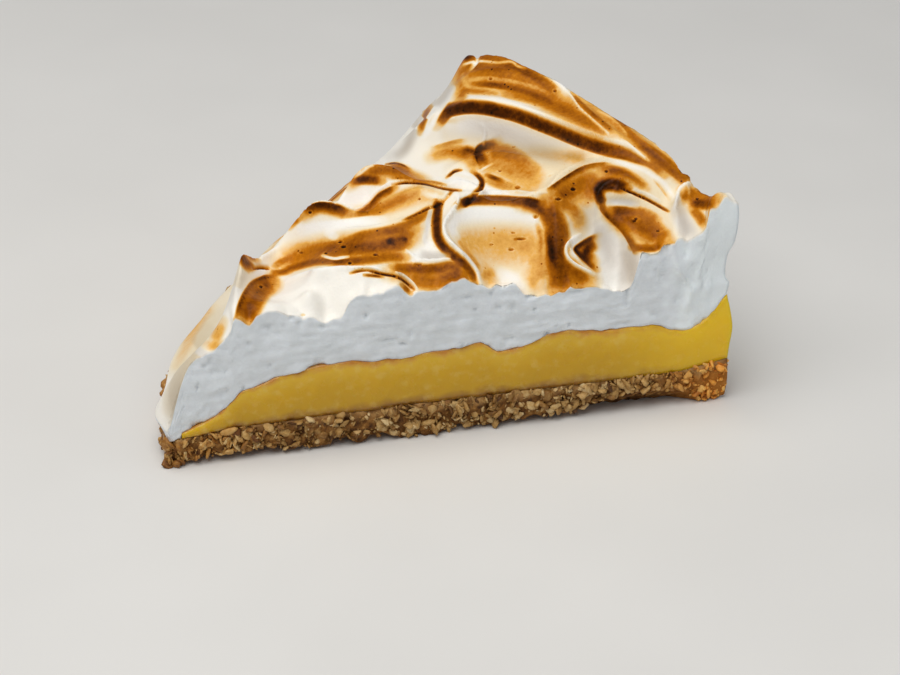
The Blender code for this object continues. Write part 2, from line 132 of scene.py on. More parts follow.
# Crests drawn up by the spatula: width of the far side, width of the near
# side, then points (a, b, height), mostly running from the rim towards the tip.
CRESTS = {
    "rim_curl": (8, 8, ((110, -2, 0.6), (108.5, 6, 6.5), (106.4, 13, 10.2), (105, 18, 12.6),
        (101.5, 23.5, 8.2), (97, 29, 4.0))),
    "left_lobe": (5, 9, ((97, 31, 3.0), (91, 31, 8.5), (86, 29, 10.0), (80, 24, 4.8), (76, 24, 2.4),
        (72, 26, 2.8), (66, 25, 2.8), (60, 22.5, 1.6), (55, 21, 0.5))),
    "high_lobe": (7, 8, ((88, 33, 1.5), (81, 36, 5.0), (75, 40, 5.6), (69, 37, 4.4), (65, 31, 2.6),
        (61, 26.5, 1.6), (57, 26, 1.2), (53, 24, 0.4))),
    "fold": (3.5, 8, ((92, 27, 0.2), (84, 21, 1.2), (76, 15.5, 2.2), (68, 16, 2.4), (62, 19, 2.2),
        (57, 22, 0.8))),
    "lower_lip": (7, 4, ((96, 9, 0.3), (88, 8, 1.8), (81, 5.5, 2.2), (76, 3.5, 2.4), (71.5, -1, 2.2))),
    "small_lip": (3, 3, ((72, 8.5, 0.2), (67, 5.5, 1.2), (61, 6, 0.4))),
    "bowl_left": (7, 4.5, ((55, 20, 1.0), (58, 16.5, 2.6), (62, 11.5, 3.2), (62.5, 7.5, 3.0),
        (59, 3, 2.8), (57.5, -2, 2.8))),
    "bowl_top": (5, 9, ((56, 20, 1.4), (50, 17.5, 2.6), (44, 16, 2.8), (38.5, 15.5, 3.2), (34, 19, 4.0),
        (28, 20.5, 4.2), (22, 20, 3.4), (16, 16.5, 1.6), (11, 13, 0.3))),
    "bowl_right": (8, 8, ((41, 17, 1.4), (37.5, 12, 2.8), (38.5, 7, 3.2), (39, 2, 3.2), (40, -3, 2.8))),
    "hook": (4, 4.5, ((29, 9.5, 0.4), (28, 13, 2.0), (25, 15, 2.6), (21, 14.5, 2.6), (17, 11.5, 1.8),
        (13, 7.5, 0.6))),
    "thumb": (3, 6, ((34, 10.5, 0.3), (36.3, 8, 1.8), (36, 5.5, 2.2), (33.5, 3.4, 2.0), (30, 1.6, 1.2),
        (27.5, 0, 0.2))),
    "back_crest": (9, 4.0, ((60, 60, 0.3), (52, 53.5, 1.6), (45, 49.5, 2.8), (37, 42.5, 3.0),
        (30, 34, 3.0), (23, 27, 2.4), (16, 20, 1.2), (10, 14, 0.2))),
    "back_soft": (4, 5, ((47, 66, 0.2), (41, 61, 1.0), (34, 53.5, 1.2), (27, 44.5, 0.3))),
    "back_thin": (3, 4, ((29, 49, 0.4), (25, 39, 1.4), (21, 28, 1.4), (17, 22, 0.3))),
    "tip_thin": (3, 4, ((21, 35, 0.3), (17, 27, 1.2), (12.5, 17.5, 1.2), (8, 11, 1.4), (11, 8, 1.6),
        (12, 4, 1.0))),
    "middle_fold": (4, 7, ((57, 33, 0.3), (52, 36, 1.4), (46, 36, 1.8), (40, 31, 1.0), (34, 27, 0.2))),
    "centre_curl": (2.5, 4, ((62, 21, 0.2), (58, 25, 1.6), (54, 25, 2.0), (51.5, 21.5, 1.2),
        (53, 18.5, 0.3))),
    "rim_sweep": (6, 8, ((104, 44, 0.1), (97, 50, 0.8), (88, 57, 1.8), (77, 61, 1.5), (68, 59, 0.3))),
    "rim_fall": (5, 6, ((101, 59, 0.2), (91, 66, 1.8), (82, 71.5, 1.9), (74, 74, 0.8), (67, 75, 0.1))),
    "rim_low": (5, 6, ((90, 79, 0.2), (81, 84, 1.5), (71, 88, 1.5), (61, 89, 0.3))),
}
# Edges where one fold stands over the next: reach, sharpness, then points
# (a, b, half of the drop); the fold is higher on the far or tip side.
STEPS = {
    "slab_edge": (11, 0.9, ((28, 15, 0.6), (27, 11.5, 1.6), (23.8, 8.5, 2.8), (22.2, 4, 3.6),
        (22.1, -3, 3.8))),
    "back_wall": (10, 1.8, ((56, 55, 0.2), (48, 50, 1.2), (38, 42, 1.5), (28, 30.5, 1.5), (19, 21, 0.8),
        (12, 14, 0.1))),
}
# Broad humps and hollows: a, b, height, half lengths along a and along b.
LOBES = {
    "bowl": (50, 9, -3.6, 9, 7),
    "tongue": (26.5, 6, -2.6, 4.5, 8),
    "thumb_hollow": (31.5, 6.5, -0.7, 3, 2.5),
    "valley_back": (45, 40, -2.4, 14, 8),
    "valley_left": (76, 32, -1.4, 6, 4),
    "high_hump": (73, 42, 2.4, 7, 5),
    "field": (82, 14, 0.9, 9, 5),
    "hook_hollow": (20.5, 10.5, -1.6, 4.5, 2.2),
    "tip_nub": (3, 3.5, 1.6, 5, 5),
    "cut_lump": (101, 1, 2.0, 5, 5),
    "back_bulge": (50, 86.5, 1.0, 7, 7),
    "peak_corner": (42.6, 73.8, 3.6, 3.2, 4),
    "back_dip": (58.5, 76, -4.8, 6.5, 10),
    "hump": (92.8, 4.2, 2.6, 2.4, 2.4),
    "hump_back": (90.0, 10, 1.6, 2.6, 2.2),
    "hump_side": (86.5, 4.5, 1.2, 2.0, 2.2),
}
# Crumbs: how many, how finely shaped, smallest and largest size, thickness.
CRUMB_SEED = 7
CRUMB_SHAPES = 12       # different shapes of each kind
CRUMB_DEPTH = 0.6       # how far into the crust a crumb's middle may lie
CRUMB_KINDS = ((1150, 2, 0.9, 1.9, 0.35), (1300, 1, 0.6, 1.2, 0.3), (1800, 1, 0.3, 0.6, 0.9))
RIM_LUMPS = ((3.6, 3.0, 2.3), (15, 4.0, 0.5), (27, 4.0, 0.6), (41, 4.5, 0.5), (56, 4.5, 1.4))

# Marks of the torch, and the painted shadow in the slot under the rim curl, traced
# as strokes in pixels of the picture: spread to the left of the stroke, spread to
# its right, how crisp its edges are (2 is soft), how far it stands up in
# millimetres, then (x, y, strength).
BROWN = {
    "wash_lobe": (18, 24, 2, 0, ((460, 72, .54), (474, 72, .62), (505, 77, .64), (530, 86, .64),
        (556, 102, .62), (584, 120, .58), (608, 134, .46))),
    "lobe_edge": (8, 8, 4, 0, ((461, 60, .74), (472, 56, .74), (484, 58, .7), (500, 60, .68),
        (515, 65, .66), (530, 73, .62), (545, 83, .58), (556, 92, .5))),
    "lobe_fill": (9, 14, 2, 0, ((462, 66, .55), (459, 78, .5), (463, 90, .56), (460, 100, .62))),
    "lip_field": (8, 8, 3, 0, ((330, 262, .55), (352, 261, .68), (372, 259, .7), (392, 257, .68),
        (406, 258, .6))),
    "thumb_wash": (14, 14, 2, 0, ((570, 203, .5), (577, 218, .42), (579, 232, .3))),
    "wash_cream": (75, 75, 2, 0, ((440, 150, .1), (500, 150, .15), (580, 170, .17), (640, 195, .17),
        (690, 215, .15))),
    "wash_left": (50, 50, 2, 0, ((290, 260, .08), (340, 230, .12), (400, 210, .14), (440, 200, .14))),
    "wash_slope": (14, 16, 2, 0, ((572, 98, .42), (606, 118, .5), (640, 142, .56), (668, 164, .56),
        (690, 182, .5))),
    "wash_wedge": (16, 22, 2, 0, ((482, 158, .45), (505, 166, .52), (525, 176, .48), (542, 186, .3))),
    "wash_tan": (14, 14, 2, 0, ((436, 152, .22), (455, 154, .36), (470, 158, .48), (476, 170, .42))),
    "wash_high": (12, 10, 2, 0, ((348, 186, .42), (372, 174, .56), (400, 174, .56), (426, 182, .42))),
    "wash_swoosh": (12, 16, 2, 0, ((352, 214, .3), (385, 206, .46), (410, 198, .46), (438, 193, .3))),
    "wash_field": (24, 22, 2, 0, ((282, 262, .36), (300, 256, .46), (330, 250, .52), (360, 246, .58),
        (390, 242, .6), (414, 232, .5))),
    "wash_front": (16, 16, 2, 0, ((388, 272, .4), (420, 275, .56), (450, 273, .6), (470, 278, .58))),
    "wash_bowl": (34, 36, 2, 0, ((460, 250, .28), (500, 250, .33), (535, 254, .4), (545, 280, .46))),
    "wash_arch": (18, 20, 2, 0, ((552, 205, .5), (570, 196, .56), (590, 188, .5), (612, 172, .4))),
    "wash_ring": (20, 20, 2, 0, ((556, 220, .5), (556, 256, .58), (568, 276, .62), (588, 282, .58))),
    "wash_slab": (20, 22, 2, 0, ((610, 216, .56), (634, 226, .6), (656, 240, .6))),
    "band": (9, 9, 5, -0.35, ((436, 124, .4), (441, 118, .74), (447, 111, .9), (456, 108, .92),
        (470, 106.5, .92), (485, 107.5, .92), (500, 110.5, .92), (514, 114, .9), (528, 119, .88),
        (543, 125, .88), (558, 131, .88), (572, 137, .88), (586, 142.5, .87), (602, 147.5, .84),
        (618, 152, .78), (632, 157, .72), (648, 164, .64), (664, 173, .55))),
    "lobe_left": (5, 5, 4, 0, ((463, 59, .6), (467, 58, .66), (472, 57, .6))),
    "lobe_top": (8, 9, 3, 0, ((462, 68, .56), (475, 66, .64), (490, 67, .68), (508, 68, .7),
        (524, 72, .68), (540, 80, .62), (556, 92, .54))),
    "lobe_stripe": (5, 6, 3, 0, ((468, 84, .5), (482, 84, .7), (494, 85, .8), (508, 87, .72),
        (524, 91, .68), (540, 97, .62), (556, 104, .55))),
    "lobe_amber": (10, 8, 3, 0, ((500, 92, .45), (520, 96, .55), (538, 101, .6), (556, 108, .6),
        (572, 114, .58), (588, 122, .55), (602, 131, .45))),
    "peak_dark": (3, 4, 3, 0, ((461, 64, .85), (461.5, 59, .88), (466, 57, .8), (473, 55, .6))),
    "slope_dark": (3, 5, 3, 0, ((572, 93, .5), (582, 104, .68), (593, 114, .7), (604, 123, .68),
        (613, 131, .6))),
    "slope_leaf": (5, 7, 3, 0, ((600, 104, .35), (612, 113, .5), (622, 124, .55), (632, 135, .6),
        (644, 144, .6), (656, 152, .62), (668, 161, .6), (680, 171, .55), (690, 180, .5))),
    "slope_core": (6, 6, 3, 0, ((636, 143, .6), (650, 153, .68), (664, 165, .68), (676, 175, .66),
        (686, 184, .5))),
    "inner_leaf": (4, 4, 3, 0, ((655, 179, .45), (663, 188, .6), (670, 198, .5))),
    "left_leaf": (5, 5, 3, 0, ((430, 107, .6), (426, 115, .72), (422, 125, .68), (420, 133, .5))),
    "under_band": (5, 5, 2, 0, ((446, 121, .35), (458, 121, .32), (468, 120, .2))),
    "tan_lobe": (12, 13, 2, 0, ((430, 157, .34), (446, 152, .54), (460, 152, .68), (472, 153, .76))),
    "tan_edge": (3, 5, 3, 0, ((433, 148, .4), (446, 144, .48), (458, 141, .45), (466, 140, .3))),
    "tan_dark": (7, 7, 2, 0, ((461, 150, .6), (468, 150, .78), (474, 153, .82), (477, 162, .75))),
    "valley_tan": (14, 13, 2, 0, ((526, 148, .24), (546, 152, .34), (562, 155, .4), (576, 157, .4),
        (588, 158, .28))),
    "wedge_dark": (2, 13, 3, -0.5, ((480, 166, .62), (477, 158, .84), (475.5, 150, .95),
        (479, 145, .96), (487, 141.5, .86), (497, 137.5, .68))),
    "wedge_inner": (8, 9, 2, 0, ((480, 150, .8), (484, 158, .72), (488, 164, .6))),
    "wedge_body": (14, 14, 3, 0, ((488, 152, .66), (502, 152, .64), (516, 158, .6), (528, 167, .52),
        (538, 176, .42))),
    "wedge_low": (8, 8, 3, 0, ((486, 178, .5), (500, 184, .5), (516, 188, .4), (534, 188, .3))),
    "wedge_spot": (4, 4, 3, 0, ((487, 175, .8), (494, 178, .85), (503, 181, .7))),
    "curl_top": (1.5, 4, 2, -0.5, ((446, 177, .6), (450, 173, .9), (455, 169.5, .97), (461, 169, .9))),
    "curl_dark": (4, 4, 3, -0.5, ((472, 171, .6), (478, 175, .85), (482, 180, .93), (481, 187, .9),
        (476, 192, .85), (471, 198, .88), (465, 204, .7))),
    "left_dark": (2, 15, 3, 0, ((302, 212, .7), (310, 206, .85), (320, 203, .9), (331, 204, .9),
        (341, 207, .85), (350, 211, .7))),
    "left_gold": (5, 6, 3, 0, ((289, 227, .5), (295, 221, .58), (301, 217, .55))),
    "high_body": (9, 9, 3, 0, ((366, 172, .6), (378, 169, .66), (391, 168, .66), (403, 171, .64),
        (412, 176, .5))),
    "high_dark": (8, 7, 3, 0, ((352, 181, .75), (362, 180, .85), (372, 180, .86), (382, 181, .7))),
    "high_top": (1.5, 3, 2, 0, ((386, 164, .85), (395, 163, .9), (403, 165, .85), (409, 168.5, .7))),
    "high_low": (3, 3, 2, 0, ((392, 178, .6), (405, 178, .62), (418, 180, .6), (432, 182, .6),
        (446, 185, .5))),
    "swoosh_line": (1.5, 3.5, 2, -0.5, ((392, 184, .6), (402, 181.8, .9), (412, 181.5, .97),
        (423, 182.3, .95), (433, 184.5, .9), (442, 187, .85), (451, 188.5, .85), (461, 189.5, .7))),
    "swoosh_dark": (2.5, 11, 2, 0, ((356, 213, .62), (364, 209, .75), (371, 203, .8), (378, 195, .86),
        (386, 190, .86), (394, 186, .75))),
    "swoosh_gold": (10, 10, 3, 0, ((352, 216, .45), (368, 213, .52), (384, 206, .55), (400, 198, .5),
        (414, 192, .42), (426, 190, .3))),
    "fold_line": (2, 4, 2, -0.5, ((402, 220, .5), (409, 216.5, .85), (417, 212.5, .93), (426, 208, .95),
        (434, 204.5, .95), (441, 200, .97), (447, 195.5, .95), (451, 191, .85))),
    "field_top": (7, 10, 3, 0, ((300, 246, .45), (318, 246, .5), (340, 243, .6), (360, 236, .66),
        (380, 232, .68), (398, 228, .68), (410, 222, .66), (422, 214, .66), (430, 209, .6))),
    "field_mid": (13, 12, 3, 0, ((286, 262, .5), (304, 256, .58), (324, 252, .64), (344, 250, .68),
        (364, 248, .7), (384, 246, .7), (400, 244, .7), (412, 238, .55))),
    "field_low": (6, 6, 3, 0, ((284, 270, .66), (298, 266, .74), (314, 262, .76), (330, 261, .76),
        (346, 261, .68), (362, 260, .6))),
    "field_right": (9, 9, 3, 0, ((398, 232, .62), (408, 234, .55), (416, 228, .5))),
    "blotch_left": (6, 6, 3, 0, ((384, 243, .82), (390, 241, .88), (396, 239, .75))),
    "blotch_right": (5, 6, 3, 0, ((401, 239, .95), (405, 240, .9), (404, 244, .8))),
    "torch_band": (18, 3, 4, 0, ((270, 276, .76), (262, 278, .72), (254, 284, .7), (248, 292, .7),
        (242, 302, .7), (237, 316, .68))),
    "torch_fill": (13, 12, 3, 0, ((274, 284, .6), (264, 290, .68), (257, 300, .7), (251, 312, .7),
        (248, 322, .66))),
    "band_edge": (6, 3, 2, 0, ((276, 276, .7), (266, 277, .72), (254, 281, .74), (246, 290, .8),
        (240, 302, .78), (236, 316, .7))),
    "rim_top": (5, 7, 3, 0, ((272, 268, .4), (280, 262, .6), (290, 258, .66))),
    "rim_join": (4, 6, 3, 0, ((268, 272, .4), (280, 272, .7), (290, 270, .72))),
    # Painted shadow: a near-black slot under the overhanging rim curl, pressed in as a pit.
    "curl_slot_shadow": (3, 3, 3, -1.2, ((254, 267, .97), (260, 266.5, 1), (268, 267, .97))),
    "curl_brown": (6, 9, 3, 0, ((236, 257, .78), (241, 256, .84), (246, 262, .84), (252, 268, .84))),
    "curl_gold": (6, 6, 2, 0, ((246, 254, .62), (252, 258, .62), (258, 261, .5))),
    "lip_dark": (2, 3.5, 2, -0.4, ((350, 272.5, .6), (359, 270, .85), (368, 269, .93),
        (376, 271.5, .95), (385, 273.5, .97), (394, 275, .97), (402, 278.5, .95), (409, 284, .93),
        (414, 289, .8))),
    "lip_flap": (3, 5, 3, 0, ((402, 284, .66), (407, 289, .7), (411, 293, .6))),
    "lens": (3, 3, 2, 0, ((364, 275, .66), (371, 275.5, .75), (377, 276, .8), (384, 277, .55))),
    "front_top": (8, 8, 3, 0, ((392, 266, .55), (406, 268, .72), (422, 269, .76), (438, 268, .74),
        (452, 266, .72), (464, 268, .7))),
    "front_low": (9, 12, 3, 0, ((410, 280, .58), (424, 282, .62), (438, 282, .64), (452, 276, .68),
        (464, 274, .72))),
    "ring_left": (7, 8, 3, -0.35, ((441, 197, .8), (438, 206, .88), (437, 216, .93), (437, 226, .93),
        (438, 236, .93), (443, 245, .9), (450, 252, .86), (458, 258, .84), (466, 264, .8),
        (472, 272, .78), (476, 281, .7))),
    "ring_top": (2, 14, 3, -0.35, ((458, 202, .88), (466, 197.5, .9), (476, 196, .88), (488, 196, .82),
        (502, 196, .8), (516, 197, .84), (530, 198, .88), (542, 201, .9))),
    "ring_shoulder": (12, 12, 2, 0, ((520, 204, .6), (534, 206, .82), (544, 213, .8))),
    "ring_corner": (4, 4, 3, 0, ((464, 205, .75), (468, 199, .85), (472, 196, .8))),
    "ring_right": (17, 15, 4, 0, ((546, 204, .7), (551, 216, .76), (556, 228, .76), (557, 240, .78),
        (556, 252, .8), (557, 264, .78), (559, 276, .74), (558, 290, .72))),
    "ring_core": (8, 9, 2, 0, ((547, 226, .5), (549, 238, .8), (551, 247, .88), (552, 256, .86),
        (554, 266, .6))),
    "arch_edge": (1.5, 10, 2, 0, ((549, 188, .85), (559, 181, .88), (568, 175, .9), (579, 168.5, .85),
        (588, 165, .74), (599, 163, .66), (609, 163, .5))),
    "arch_body": (14, 14, 3, 0, ((556, 196, .66), (568, 190, .68), (580, 184, .64), (590, 179, .58),
        (592, 190, .58), (586, 200, .52))),
    "arch_low": (14, 14, 2, 0, ((560, 204, .64), (572, 208, .55), (579, 218, .42), (582, 228, .3))),
    "arch_right": (8, 8, 3, 0, ((600, 170, .6), (612, 170, .55), (622, 174, .5))),
    "hook_dark": (8, 8, 3, -0.5, ((602, 205, .86), (600, 197, .95), (598, 189, .98), (602, 183, .98),
        (610, 180.5, .97), (619, 182, .94), (628, 187, .86))),
    "hook_core": (8, 8, 2, 0, ((601, 190, .95), (608, 187, .95), (616, 188, .92), (624, 190, .8))),
    "hook_tail": (2, 4, 2, -0.5, ((620, 184, .9), (627, 188, .95), (635, 192.5, .95), (647, 198, .93),
        (658, 204, .9), (669, 210.5, .75))),
    "hook_lobe": (9, 10, 2, 0, ((606, 171, .66), (616, 171, .76), (626, 174, .76), (636, 180, .66),
        (647, 188, .5))),
    "slab_left": (12, 2, 2, 0, ((600, 203, .9), (602, 212, .85), (612, 222, .8), (622, 232, .76),
        (628.5, 242, .76), (633, 251, .75))),
    "slab_body": (16, 16, 3, 0, ((610, 213, .66), (624, 217, .68), (638, 222, .68), (650, 228, .66),
        (660, 236, .62), (666, 242, .6))),
    "slab_top": (8, 10, 3, 0, ((612, 209, .7), (628, 210, .66), (644, 213, .6), (658, 220, .5))),
    "slab_low": (8, 5, 3, 0, ((632, 248, .68), (646, 249, .72), (656, 248, .72), (662, 243, .7))),
    "thumb": (9, 3, 2, 0, ((599, 234, .72), (590, 238, .9), (581, 243.5, .97), (575, 249, .98),
        (580, 256, .95), (588, 264, .85), (596, 271, .6))),
    "thumb_fill": (12, 12, 2, 0, ((596, 242, .8), (589, 247, .92), (586, 254, .9), (592, 262, .7))),
    "band_low": (12, 10, 3, 0, ((566, 262, .72), (574, 270, .72), (582, 276, .66), (590, 277, .6))),
    "bowl_gold": (26, 26, 2, 0, ((458, 242, .32), (490, 240, .36), (514, 240, .37), (534, 244, .42))),
    "lobe_under": (7, 6, 2, 0, ((461, 91, .62), (475, 91, .62), (488, 92, .52), (500, 95, .35))),
    "rim_wash": (34, 40, 2, 0, ((262, 250, .08), (240, 275, .1), (222, 305, .13), (200, 340, .16),
        (184, 375, .12), (172, 420, .08))),
    "bowl_low": (14, 14, 2, 0, ((486, 268, .45), (490, 280, .58))),
    "bowl_edge": (6, 6, 2, 0, ((538, 226, .5), (541, 240, .52), (540, 254, .5))),
    "bowl_right_low": (12, 12, 2, 0, ((530, 276, .34), (536, 288, .42))),
    "bowl_left_in": (6, 4, 2, 0, ((452, 232, .3), (462, 246, .42), (472, 258, .48), (480, 270, .5))),
    "tip_gold": (9, 12, 3, 0, ((683, 190, .56), (690, 193, .66), (698, 196, .62), (710, 198, .6),
        (720, 198, .5))),
    "tip_dark": (9, 9, 3, 0, ((690, 199, .7), (697, 203, .82), (706, 204, .78), (715, 202, .62))),
    "tip_tail": (8, 8, 3, 0, ((692, 208, .62), (697, 214, .66), (702, 221, .62), (705, 227, .4))),
    "tip_left": (5, 5, 3, 0, ((681, 192, .5), (684, 197, .6), (684, 203, .45))),
    "rim_gold": (9, 10, 3, 0, ((222, 322, .34), (218, 332, .42), (214, 342, .36))),
    "rim_gold_low": (6, 9, 3, 0, ((206, 343, .34), (213, 345, .38), (221, 343, .34))),
    "rim_tan": (14, 10, 2, 0, ((212, 305, .26), (200, 318, .34), (190, 335, .34), (183, 352, .26),
        (172, 372, .16))),
}
# Marks of the torch on the hidden slope to the rim: half width, then places in
# millimetres along and across the slice, and the strength.
BACK_BROWN = {
    "sweep": (3.6, ((103, 46, .3), (97, 50, .72), (88, 57, .86), (77, 61, .8), (69, 59, .4))),
    "sweep_wash": (8, ((100, 48, .3), (90, 54, .5), (79, 57, .5), (70, 54, .3))),
    "fall": (3.4, ((100, 60, .3), (91, 66, .8), (82, 71.5, .86), (75, 74, .6), (69, 75, .2))),
    "fall_wash": (8, ((97, 60, .3), (89, 66, .48), (81, 71, .46), (75, 73, .25))),
    "low": (3, ((89, 79.5, .3), (81, 84, .7), (71, 88, .76), (61, 89, .4))),
    "low_wash": (8, ((86, 79, .25), (77, 84, .42), (66, 87, .35))),
    "rim_tan": (6, ((117, 24, .2), (112, 36, .34), (104, 52, .38), (92, 70, .34), (78, 88, .3))),
}
# Crests and hollows that are pale, traced the same way: the hollows stayed pale under the torch,
# while the thin lines along the crests and the white knob at the tip are painted highlights.
PALE_AND_HIGHLIGHTS = {
    "band_top": (4, 2.5, 2, 0.55, ((492, 97.5, .3), (505, 101, .4), (520, 106, .4), (534, 111.5, .36),
        (550, 118, .36), (566, 124, .4), (580, 129.5, .45), (595, 135, .45), (609, 140, .4),
        (622, 144, .4), (634, 151, .4), (646, 159, .35))),
    "lobe_line": (3, 3.5, 2, 0.2, ((470, 80, .2), (484, 78, .3), (498, 79, .3), (512, 81, .35),
        (526, 84.5, .35), (539, 89, .3), (548, 93, .2))),
    "lobe_rim": (2, 2.5, 2, 0, ((463, 64.5, .7), (470, 62.5, .8), (478, 61, .85), (488, 61.4, .7),
        (498, 62.5, .5), (511, 61.5, .6), (518, 66, .6), (525, 68, .4))),
    "notch": (3, 3, 2, -0.8, ((477, 54, 1), (477, 60, .9), (472, 67, .6), (468, 71.5, .3))),
    "slope_line": (2, 2, 2, 0.55, ((553, 81, .8), (561, 86, .8), (570, 95, .75), (579, 108, .7),
        (590, 118, .65), (601, 127.5, .6), (609, 134.5, .6))),
    "slope_line2": (2, 2, 2, 0.35, ((598, 111, .35), (609, 116.5, .4), (618, 124, .4),
        (627, 134.5, .4))),
    "slope_line3": (2.4, 2.4, 2, 0.35, ((622, 140, .5), (628, 144, .7), (638, 153, .75),
        (649, 160.5, .7))),
    "tip_line": (3, 3, 2, 0.7, ((690, 184, .9), (684, 186, 1), (679, 191, 1), (677, 199, 1),
        (675, 206, .9), (673, 212, .7))),
    "tip_leaf": (2.5, 2.5, 2, 0.35, ((688, 184, .7), (689, 190, .5), (689, 196, .3))),
    "valley_strip": (5, 5, 3, 0, ((612, 160, .5), (622, 162, .8), (632, 165, .85), (645, 169, .85),
        (656, 177, .85), (665, 187, .8), (672, 197, .8))),
    "back_valley": (8, 16, 3, 0, ((455, 124, .8), (470, 124, .95), (484, 126, .95), (500, 128, .85),
        (520, 134, .8), (545, 143, .5), (570, 150, .3))),
    "valley_edge": (3, 3, 2, 0.55, ((481, 125, .8), (485, 132.7, .9), (483.5, 142, .8))),
    "fold_white": (4, 10, 4, 0, ((302, 228, .9), (320, 224, 1), (336, 223, 1), (352, 221, 1),
        (368, 219, .9), (382, 218.5, .6))),
    "fold_patch": (6, 6, 4, 0, ((329, 233, 1), (334, 236, 1))),
    "high_valley": (7, 7, 3, 0, ((342, 197, .6), (350, 199, .9), (360, 198, .95), (368, 193, .7))),
    "high_line": (2, 2, 2, 0.55, ((330, 202, .5), (340, 204.4, .8), (347, 208, .9), (354, 209.3, .9),
        (359, 208.6, .9), (365, 205, .9), (370, 199.6, .9), (374.6, 194, .9), (381.5, 188.6, .85),
        (388, 184.5, .8), (395, 182.4, .6))),
    "high_light": (2, 2.5, 2, 0, ((354.6, 177.6, .6), (362, 172, .7), (370, 166, .7),
        (378.7, 163, .5))),
    "swoosh_cream": (5, 5, 2, 0, ((422, 193, .6), (436, 196, .8), (449, 196, .7))),
    "narrow_pale": (3, 3.5, 3, 0, ((432, 206.5, .7), (428.6, 219, .9), (428, 227, .95), (425, 238, .95),
        (428, 246.5, .9))),
    "small_pale": (5, 5, 3, -0.5, ((414, 253, .6), (422, 255, .95), (436, 255, .95), (447, 254, .7))),
    "pocket_line": (2, 2, 2, 0.35, ((406, 250, .6), (412, 254.7, .9), (420, 259, .95),
        (434, 259.6, .95), (450, 258, .8))),
    "front_line": (2, 2, 2, 0.35, ((423, 264.4, .5), (436.6, 262.3, .6), (447.6, 260.3, .5))),
    "sliver": (2.2, 2.2, 3, 0, ((322, 255.4, .8), (328, 257.4, .95), (335, 258.6, .95),
        (342, 257.6, .95), (348.4, 256.8, .8))),
    "field_edge": (2, 2.5, 2, 0.55, ((285, 281, .8), (299, 275.7, .9), (312, 271.5, .95),
        (326, 269.3, .95), (340, 268, .95), (354, 268, .9), (368, 268, .8), (381.5, 270, .6))),
    "lip_crest": (2, 2, 2, 0.55, ((395, 272.7, .8), (403.5, 276, .85), (412, 283, .9), (417, 289, .9))),
    "bowl_crest": (3, 3, 2, 0.55, ((456, 194, .9), (458.6, 199.6, .95), (454.5, 208, 1), (449, 216, 1),
        (444.5, 223, 1), (444.5, 231, 1), (448.6, 239.6, 1), (457, 249, 1), (465, 256, 1),
        (471, 263, 1), (476.6, 271, .95), (480, 282, .9))),
    "bowl_top_line": (2, 1, 2, 0.55, ((472, 192.5, .6), (484, 192, .6), (497, 192, .65),
        (509, 192, .65), (520, 192, .65), (533, 193.5, .55), (547, 193, .4))),
    "bowl_white": (8, 9, 3, 0, ((460, 214, .95), (474, 211, 1), (490, 211, 1), (504, 212, .85),
        (516, 215, .4))),
    "bowl_white_left": (6, 5, 3, 0, ((456, 218, .95), (452, 228, .95), (456, 238, .8))),
    "bowl_patch": (9, 9, 2, 0, ((502, 272, .8), (512, 278, .95), (520, 284, .8))),
    "thumb_crest": (3, 3, 2, 0.7, ((580, 235, .7), (573, 240, .95), (568, 245, 1), (566, 250, 1),
        (567, 257, 1), (573, 264, 1), (583, 270, 1), (594, 275, .9))),
    "hook_line": (2, 2, 2, 0.4, ((634, 189.3, .4), (649, 194.8, .6), (660, 201, .6))),
    "hook_pale": (4.5, 5, 3, 0, ((609, 202.5, .95), (618, 202.5, 1), (627, 203, .95), (636, 205, .8))),
    "tongue": (11, 17, 4, 0, ((606, 232, .9), (611, 244, 1), (615, 258, 1), (618, 272, 1),
        (618, 290, 1))),
    "tongue_top": (8, 9, 2, 0, ((598, 210, .4), (600, 221, .6), (604, 231, .75))),
    "tip_valley": (12, 12, 3, 0, ((678, 214, .9), (684, 226, .95), (690, 236, .9))),
    "tip_white": (12, 12, 3, 0, ((724, 200, .9), (728, 208, 1), (728, 222, 1), (722, 234, .9))),
    "curl_white": (3, 4, 2, 0, ((460, 172, .9), (468, 174, .95), (475, 177, .9), (477, 184, .7))),
    "curl_block": (6, 6, 3, 0, ((450, 181, .9), (458, 181, .95), (465, 183, .9))),
    "flame": (2, 2, 2, 0, ((479, 171, .6), (485, 167, .8), (492, 164, .6))),
    "back_strip": (4, 4, 3, 0, ((453, 88, .9), (446, 100, .95), (438, 112, .95), (431, 126, .9),
        (424, 136, .8))),
    "curl_cream": (4, 3, 3, 0, ((252, 274, .9), (260, 272.5, .95), (268, 271, .8))),
    "curl_crest": (2.5, 2.5, 2, 0.7, ((258, 258, .9), (264, 257, .9), (272, 252, .9), (280, 246, .8))),
}
